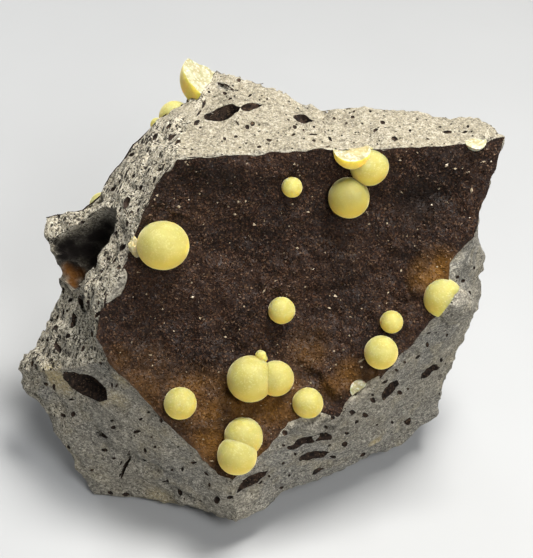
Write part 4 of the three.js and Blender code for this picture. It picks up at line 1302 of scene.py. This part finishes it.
def druse():
    """Dark brown crystals, each with its own tone, with rust-coloured patches, and dark patches that are
    painted shade on the front lining and random on the back one
    """
    look = Look("druse")
    tone = look.mask("tone")
    cloud = look.step(look.noise(11, 4), 0.35, 0.65)
    dark = look.mix(cloud, srgb(25, 15, 10), srgb(36, 22, 15))
    light = look.mix(cloud, srgb(58, 36, 25), srgb(77, 53, 38))
    base = look.mix(look.step(tone, 0.2, 1.0), dark, light)
    base = look.mix(look.step(tone, 0.90, 0.98, 0, 0.6), base, srgb(116, 96, 76))
    speck = look.cells(0.34)
    base = look.mix(look.step(speck, 0.84, 0.92, 0, 0.45), base, srgb(98, 74, 54))
    base = look.mix(look.step(speck, 0.22, 0.14, 0, 0.6), base, srgb(16, 10, 8))
    golden = look.mix(tone, srgb(88, 56, 16), srgb(126, 90, 36))
    uneven = look.step(look.noise(5, 4), 0.3, 0.6, 0.35, 0.95)
    base = look.mix(look.times(look.mask("rust"), uneven), base, golden)
    # painted shade on the front lining; random dark patches on the back one
    base = look.mix(look.times(look.mask("black"), 0.75), base, srgb(20, 14, 11))
    look.surface({"Base Color": base, "Roughness": look.step(look.cells(0.5), 0, 1, 0.35, 0.85),
                  "Specular IOR Level": 0.2})
    look.bump(look.noise(0.35, 3), 0.15)
    return look.material


def white_grain():
    """The few white crystals of the druse"""
    look = Look("white_grain")
    base = look.mix(look.noise(0.8), srgb(122, 104, 82), srgb(186, 172, 146))
    look.surface({"Base Color": base, "Roughness": 0.35, "Specular IOR Level": 0.5})
    return look.material


def calcite():
    """Frosted pale yellow skin of the balls, with a painted glow of brighter golden light through their
    lower parts
    """
    look = Look("calcite")
    base = look.mix(look.step(look.noise(2.6, 3), 0.35, 0.68), srgb(163, 157, 91), srgb(171, 166, 103))
    base = look.flecks(base, 0.3, 0.75, 0.95, 0.35, srgb(200, 197, 146))
    # the ball under the top pair: its greener tint is its own, and its darker tone is painted shade from the
    # pair above
    base = look.mix(look.times(look.mask("green_and_painted_shade"), 0.75), base, srgb(130, 124, 66))
    # painted glow: the lower part of each ball turns brighter and more golden, standing in for light shining
    # through it
    base = look.mix(look.times(look.mask("low"), 0.9), base, srgb(250, 218, 84))
    look.surface({
        "Base Color": base, "Roughness": 0.6, "Specular IOR Level": 0.25,
        "Subsurface Weight": 1.0, "Subsurface Scale": 6.5 * MM,
        "Sheen Weight": 0.7, "Sheen Roughness": 0.3, "Sheen Tint": (1.0, 0.93, 0.6),
    })
    look.shader.inputs["Subsurface Radius"].default_value = (1.0, 0.8, 0.3)
    look.bump(look.noise(0.4, 3), 0.06)
    return look.material


def broken_calcite():
    """White broken faces of the balls"""
    look = Look("broken_calcite")
    base = look.mix(look.step(look.noise(1.4, 4), 0.35, 0.65), srgb(152, 146, 104), srgb(176, 173, 146))
    base = look.flecks(base, 0.45, 0.6, 0.9, 0.6, srgb(202, 202, 190))
    # painted glow: broken faces turn golden toward the bottom of their ball, while the crust of contact gets
    # its own tan tone
    base = look.mix(look.step(look.mask("low"), 0.35, 0.95, 0, 0.8), base, srgb(184, 158, 76))
    look.surface({"Base Color": base, "Roughness": look.step(look.cells(0.45), 0, 1, 0.3, 0.7),
                 "Subsurface Weight": 0.12, "Subsurface Scale": 1.5 * MM, "Specular IOR Level": 0.4})
    look.bump(look.grains(0.7)[1], 0.12)
    return look.material


def pale_floor():
    """Pale floor that fades to the tone of the backdrop"""
    look = Look("floor")
    base = look.mix(look.noise(60, 3), srgb(172, 174, 176), srgb(178, 180, 182))
    away = look.node("ShaderNodeVectorMath", {0: look.place}, operation="LENGTH").outputs["Value"]
    glow = look.step(away, *FAR_FLOOR, 0, BACKDROP_GLOW)
    look.surface({"Base Color": base, "Roughness": 0.6, "Emission Color": (1.0, 1.0, 1.0),
                  "Emission Strength": glow})
    return look.material


def backdrop_wall():
    """Even pale tone of the backdrop"""
    look = Look("backdrop")
    look.surface({"Base Color": (0.0, 0.0, 0.0), "Specular IOR Level": 0.0,
                  "Emission Color": (1.0, 1.0, 1.0), "Emission Strength": WALL_GLOW})
    return look.material


# Putting the pieces together

# Soft patches of the rock: place in pixels, radius in millimetres, strength
TAN = [
    (56, 376, 6, 0.9), (118, 400, 5, 0.4), (160, 500, 7, 0.5), (64, 384, 5, 0.6), (120, 380, 4, 0.6),
    (100, 398, 4, 0.6), (375, 443, 3, 0.9),
]
PALE = [
    (120, 276, 3.2, 0.4), (122, 285, 3.2, 0.4), (115, 291, 3, 0.4), (125, 268, 2, 0.4),
    (112, 292, 2.5, 0.5), (104, 306, 3, 0.9), (100, 320, 2.8, 0.9), (97, 336, 2.8, 0.8),
    (76, 334, 8, 0.45),
]
# The spike above the hollow on the left is as coarse as the band beside it
COARSE = [
    (60, 222, 10, 1), (50, 236, 7, 1), (84, 216, 7, 1), (117, 284, 6, 0.35), (121, 272, 4, 0.35),
    (66, 231, 6, 1), (80, 224, 5, 1),
]
# Painted shade: the dark depth of the hollow on the left and of the gaps between the lips of rock, and shade
# painted on the band beside the hollow, on the spike over it and on the tongue and lips of rock on the lower
# right
PAINTED_SHADE_SPOTS = [
    (100, 235, 8.5, 1), (88, 250, 8.5, 1), (74, 252, 7, 1), (108, 226, 5, 1), (95, 262, 6, 1),
    (64, 256, 5, 1), (80, 240, 6, 0.9), (60, 262, 4, 0.8), (64, 272, 3, 0.8), (76, 286, 3, 0.8),
    (85, 275, 4, 0.9), (58, 250, 3.5, 0.9), (72, 264, 5, 0.9), (92, 238, 5, 1), (62, 249, 5, 1),
    (66, 284, 3, 0.75), (75, 288, 2.4, 0.6), (61, 278, 2.6, 0.75), (55, 242, 3, 0.8), (70, 244, 5, 1),
    (326, 420, 3.2, 0.5), (332, 427, 2.4, 0.5), (320, 427, 2.2, 0.35), (64, 284, 2.4, 0.8),
    (82, 270, 3.4, 0.85), (80, 279, 2.4, 0.6), (314, 418, 3.4, 0.42), (294, 430, 2.4, 0.3),
    (349, 400, 3.2, 0.32), (357, 392, 2.6, 0.25), (70, 240, 4, 0.9), (84, 232, 4.5, 0.8),
    (98, 224, 4.5, 0.8), (118, 242, 9, 0.14), (126, 216, 8, 0.12), (112, 265, 8, 0.12), (72, 221, 6, 0.25),
    (117, 283, 6, 0.24),
]
ROCK_RUST = [
    (74, 275, 3.2, 1), (68, 270, 2.6, 1), (80, 273, 2.6, 0.9), (72, 280, 2.2, 1), (66, 266, 1.8, 0.8),
    (73, 284, 2.2, 1),
]
# Where the masks of the rock set in and where they are full
BAND_END = (8, -8)              # across the block, from where the coarse band ends to where it is full
# The painted highlight along the rim of the vug fades in between these distances from the lining
PAINTED_RIM_HIGHLIGHT = (1.0, 0.35)          # distance from the lining
TOP_TURN = (0.75, 0.95)         # how far a face looks up, and its height
TOP_HEIGHT = (70, 80)
# Patches of the back lining: strength, size and layer of the noise, and where it sets in and is full
BACK_RUST = (0.7, 16, 4, (0.0, 0.6))
BACK_BLACK = (0.5, 13, 5, (0.1, 0.6))

ROCK_SMOOTH = math.radians(42)
BALL_SMOOTH = math.radians(35)
BALL_LAYERS = 50                # layers of noise kept for each ball


def both_linings():
    """The plain linings as one surface"""
    parts = [node_arrays(name) for name in ("druse_front_vug", "druse_back_vug")]
    return Surface(*joined([(points, triangles, np.zeros(1)) for points, triangles in parts])[:2])


def make_rock():
    """The rock with the masks of its material"""
    lining = both_linings()
    body, fine, plain = build_rock(lining)
    points = body[0]
    facing = np.array([plain.nearest(point)[1] for point in points])
    hollow = Surface(body[0], body[1])
    in_band = band_share(facing) * ramp(points[:, 0], *BAND_END)
    masks = {
        "coarse": np.maximum(in_band, spot_values(points, hollow, COARSE)),
        # the mask of the painted highlight along the rim of the vug
        "rim": ramp(lining.distances(points), *PAINTED_RIM_HIGHLIGHT),
        "top": ramp(facing[:, 2], *TOP_TURN) * ramp(points[:, 2], *TOP_HEIGHT),
        "tan": spot_values(points, fine, TAN),
        "pale": spot_values(points, fine, PALE),
        "rust": spot_values(points, hollow, ROCK_RUST),
        # the mask of painted shade
        "deep": spot_values(points, hollow, PAINTED_SHADE_SPOTS),
    }
    looks = [basalt(), void_lining()]
    finish_piece("basalt_rock", body, looks, masks, ["basalt_matrix"], ROCK_SMOOTH)


def patches(points, strength, size, layer, limits):
    """Cloudy patches, for a side that isn't seen"""
    return strength * ramp(noise(points, size, layer), *limits)


def make_linings():
    """The druse of the front vug and of the one at the back"""
    looks = [druse(), white_grain()]
    rock = node_arrays("basalt_matrix")[0]
    arrays, tone, fine = build_lining("druse_front_vug", VUG_FACING, 1, rock, True)
    masks = {
        "tone": tone,
        "rust": spot_values(arrays[0], fine, RUST),
        # the mask of painted shade on the front lining
        "black": spot_values(arrays[0], fine, PAINTED_SHADE_PATCHES),
    }
    finish_piece("druse_front", arrays, looks, masks, ["druse_front_vug"], 0)
    arrays, tone, _ = build_lining("druse_back_vug", unit(BACK_FACING), BACK_SHARE, rock, False)
    masks = {"tone": tone, "rust": patches(arrays[0], *BACK_RUST), "black": patches(arrays[0], *BACK_BLACK)}
    finish_piece("druse_back", arrays, looks, masks, ["druse_back_vug"], 0)


def make_balls():
    """The balls and the two flakes, which are white all over"""
    looks = [calcite(), broken_calcite()]
    for number, (node, spheres, broken) in enumerate(BALLS):
        layer = LAYERS["balls"] + BALL_LAYERS * number
        planes = list(broken)
        if node in ROCK_EDGES:
            planes.append(edge_plane(spheres[0][0], *ROCK_EDGES[node]))
        body = build_ball(spheres, planes, layer, OVAL.get(node, 1))
        if node == "calcite_ball_shoulder":
            centre, radius = SHOULDER_LUMP
            lump = ball(np.array(centre, float), radius, LAYERS["shoulder lump"])
            body = combine(body, lump, "DIFFERENCE")
        if node == "calcite_ball_left_rim":
            middle, axes = CONTACT
            crust = rough_body(DRAWING_ORIGIN + middle, axes, 4, layer + 5, CONTACT_ROUGH)
            body = combine(body, crust, "UNION")
        is_flake = "flake" in node
        masks = {
            # how low each point lies sets the painted glow below
            "low": glow_and_crust_share(body[0], spheres) * (not is_flake),
            # greener tint and painted shade of the ball under the top pair
            "green_and_painted_shade": np.full(len(body[0]), float(node == "calcite_ball_under_top_pair")),
        }
        shown = [looks[1], looks[1]] if is_flake else looks
        finish_piece(node + "_fine", body, shown, masks, [node], BALL_SMOOTH)


# The floor, the backdrop, the light and the camera, in metres

STAGE_REACH = 3.0
FLOOR_DROP = 0.0002             # how far the floor lies below the piece, so that the two don't touch
WALL_SIDES = 96
WALL_REACH = 0.98               # of the reach of the floor
WALL_FOOT = -0.01
FAR_FLOOR = (0.26, 0.9)         # where the floor fades to the tone of the backdrop
BACKDROP_GLOW = 0.68
WALL_GLOW = 0.72
SKY = (0.98, 0.99, 1, 1)
SKY_STRENGTH = 0.09
# Name, place, size, power and colour of each lamp, and the point that they all look at
LAMPS = [
    ("key", (0.15, 0.02, 0.62), 0.2, 6.1, (1, 0.97, 0.92)),
    ("front", (0.20, -0.42, 0.50), 0.2, 2.6, (1, 0.99, 0.98)),
    ("back", (-0.34, 0.50, 0.26), 0.3, 1.3, (0.98, 0.99, 1)),
]
LIT_POINT = (0, 0, 0.06)


def make_backdrop():
    """A pale round wall behind the floor, which lights nothing"""
    turns = np.linspace(0, 2 * math.pi, WALL_SIDES, endpoint=False)
    ring = np.stack([np.cos(turns), np.sin(turns)], 1) * STAGE_REACH * WALL_REACH
    low = np.column_stack([ring, np.full(WALL_SIDES, WALL_FOOT)])
    high = np.column_stack([ring, np.full(WALL_SIDES, STAGE_REACH)])
    faces = [(n, (n + 1) % WALL_SIDES, (n + 1) % WALL_SIDES + WALL_SIDES, n + WALL_SIDES)
             for n in range(WALL_SIDES)]
    mesh = bpy.data.meshes.new("backdrop")
    mesh.from_pydata(np.vstack([low, high]).tolist(), [], faces)
    wall = object_from("backdrop", mesh, [backdrop_wall()])
    wall.visible_diffuse = False
    wall.visible_glossy = False
    wall.visible_shadow = False


def make_floor():
    """A wide pale floor under the piece"""
    corners = np.array([[-1, -1, 0], [1, -1, 0], [1, 1, 0], [-1, 1, 0]]) * STAGE_REACH
    mesh = bpy.data.meshes.new("floor")
    mesh.from_pydata((corners - [0, 0, FLOOR_DROP]).tolist(), [], [(0, 1, 2, 3)])
    floor = object_from("floor", mesh, [pale_floor()])


def make_light():
    """A dim even sky, and the lamps"""
    world = bpy.data.worlds.new("studio")
    world.use_nodes = True
    sky = world.node_tree.nodes["Background"]
    sky.inputs["Color"].default_value = SKY
    sky.inputs["Strength"].default_value = SKY_STRENGTH
    bpy.context.scene.world = world
    for name, place, size, power, colour in LAMPS:
        lamp = bpy.data.lights.new(name, "AREA")
        lamp.size = size
        lamp.energy = power
        lamp.color = colour
        made = object_from(name, lamp)
        made.location = place
        aim = Vector(LIT_POINT) - Vector(place)
        made.rotation_euler = aim.to_track_quat("-Z", "Y").to_euler()


def make_camera():
    """The camera that took the photograph"""
    lens = bpy.data.cameras.new("camera")
    lens.sensor_width = SENSOR
    lens.lens = SENSOR * FOCAL_PIXELS / PHOTO_HEIGHT
    camera = object_from("camera", lens)
    camera.location = CAMERA_PLACE * MM
    camera.rotation_euler = (math.pi / 2 - CAMERA_ELEVATION, 0, 0)
    bpy.context.scene.camera = camera


make_rock()
make_linings()
make_balls()
make_backdrop()
make_floor()
make_light()
make_camera()
bpy.context.scene.view_settings.view_transform = "Standard"

bpy.context.view_layer.update()
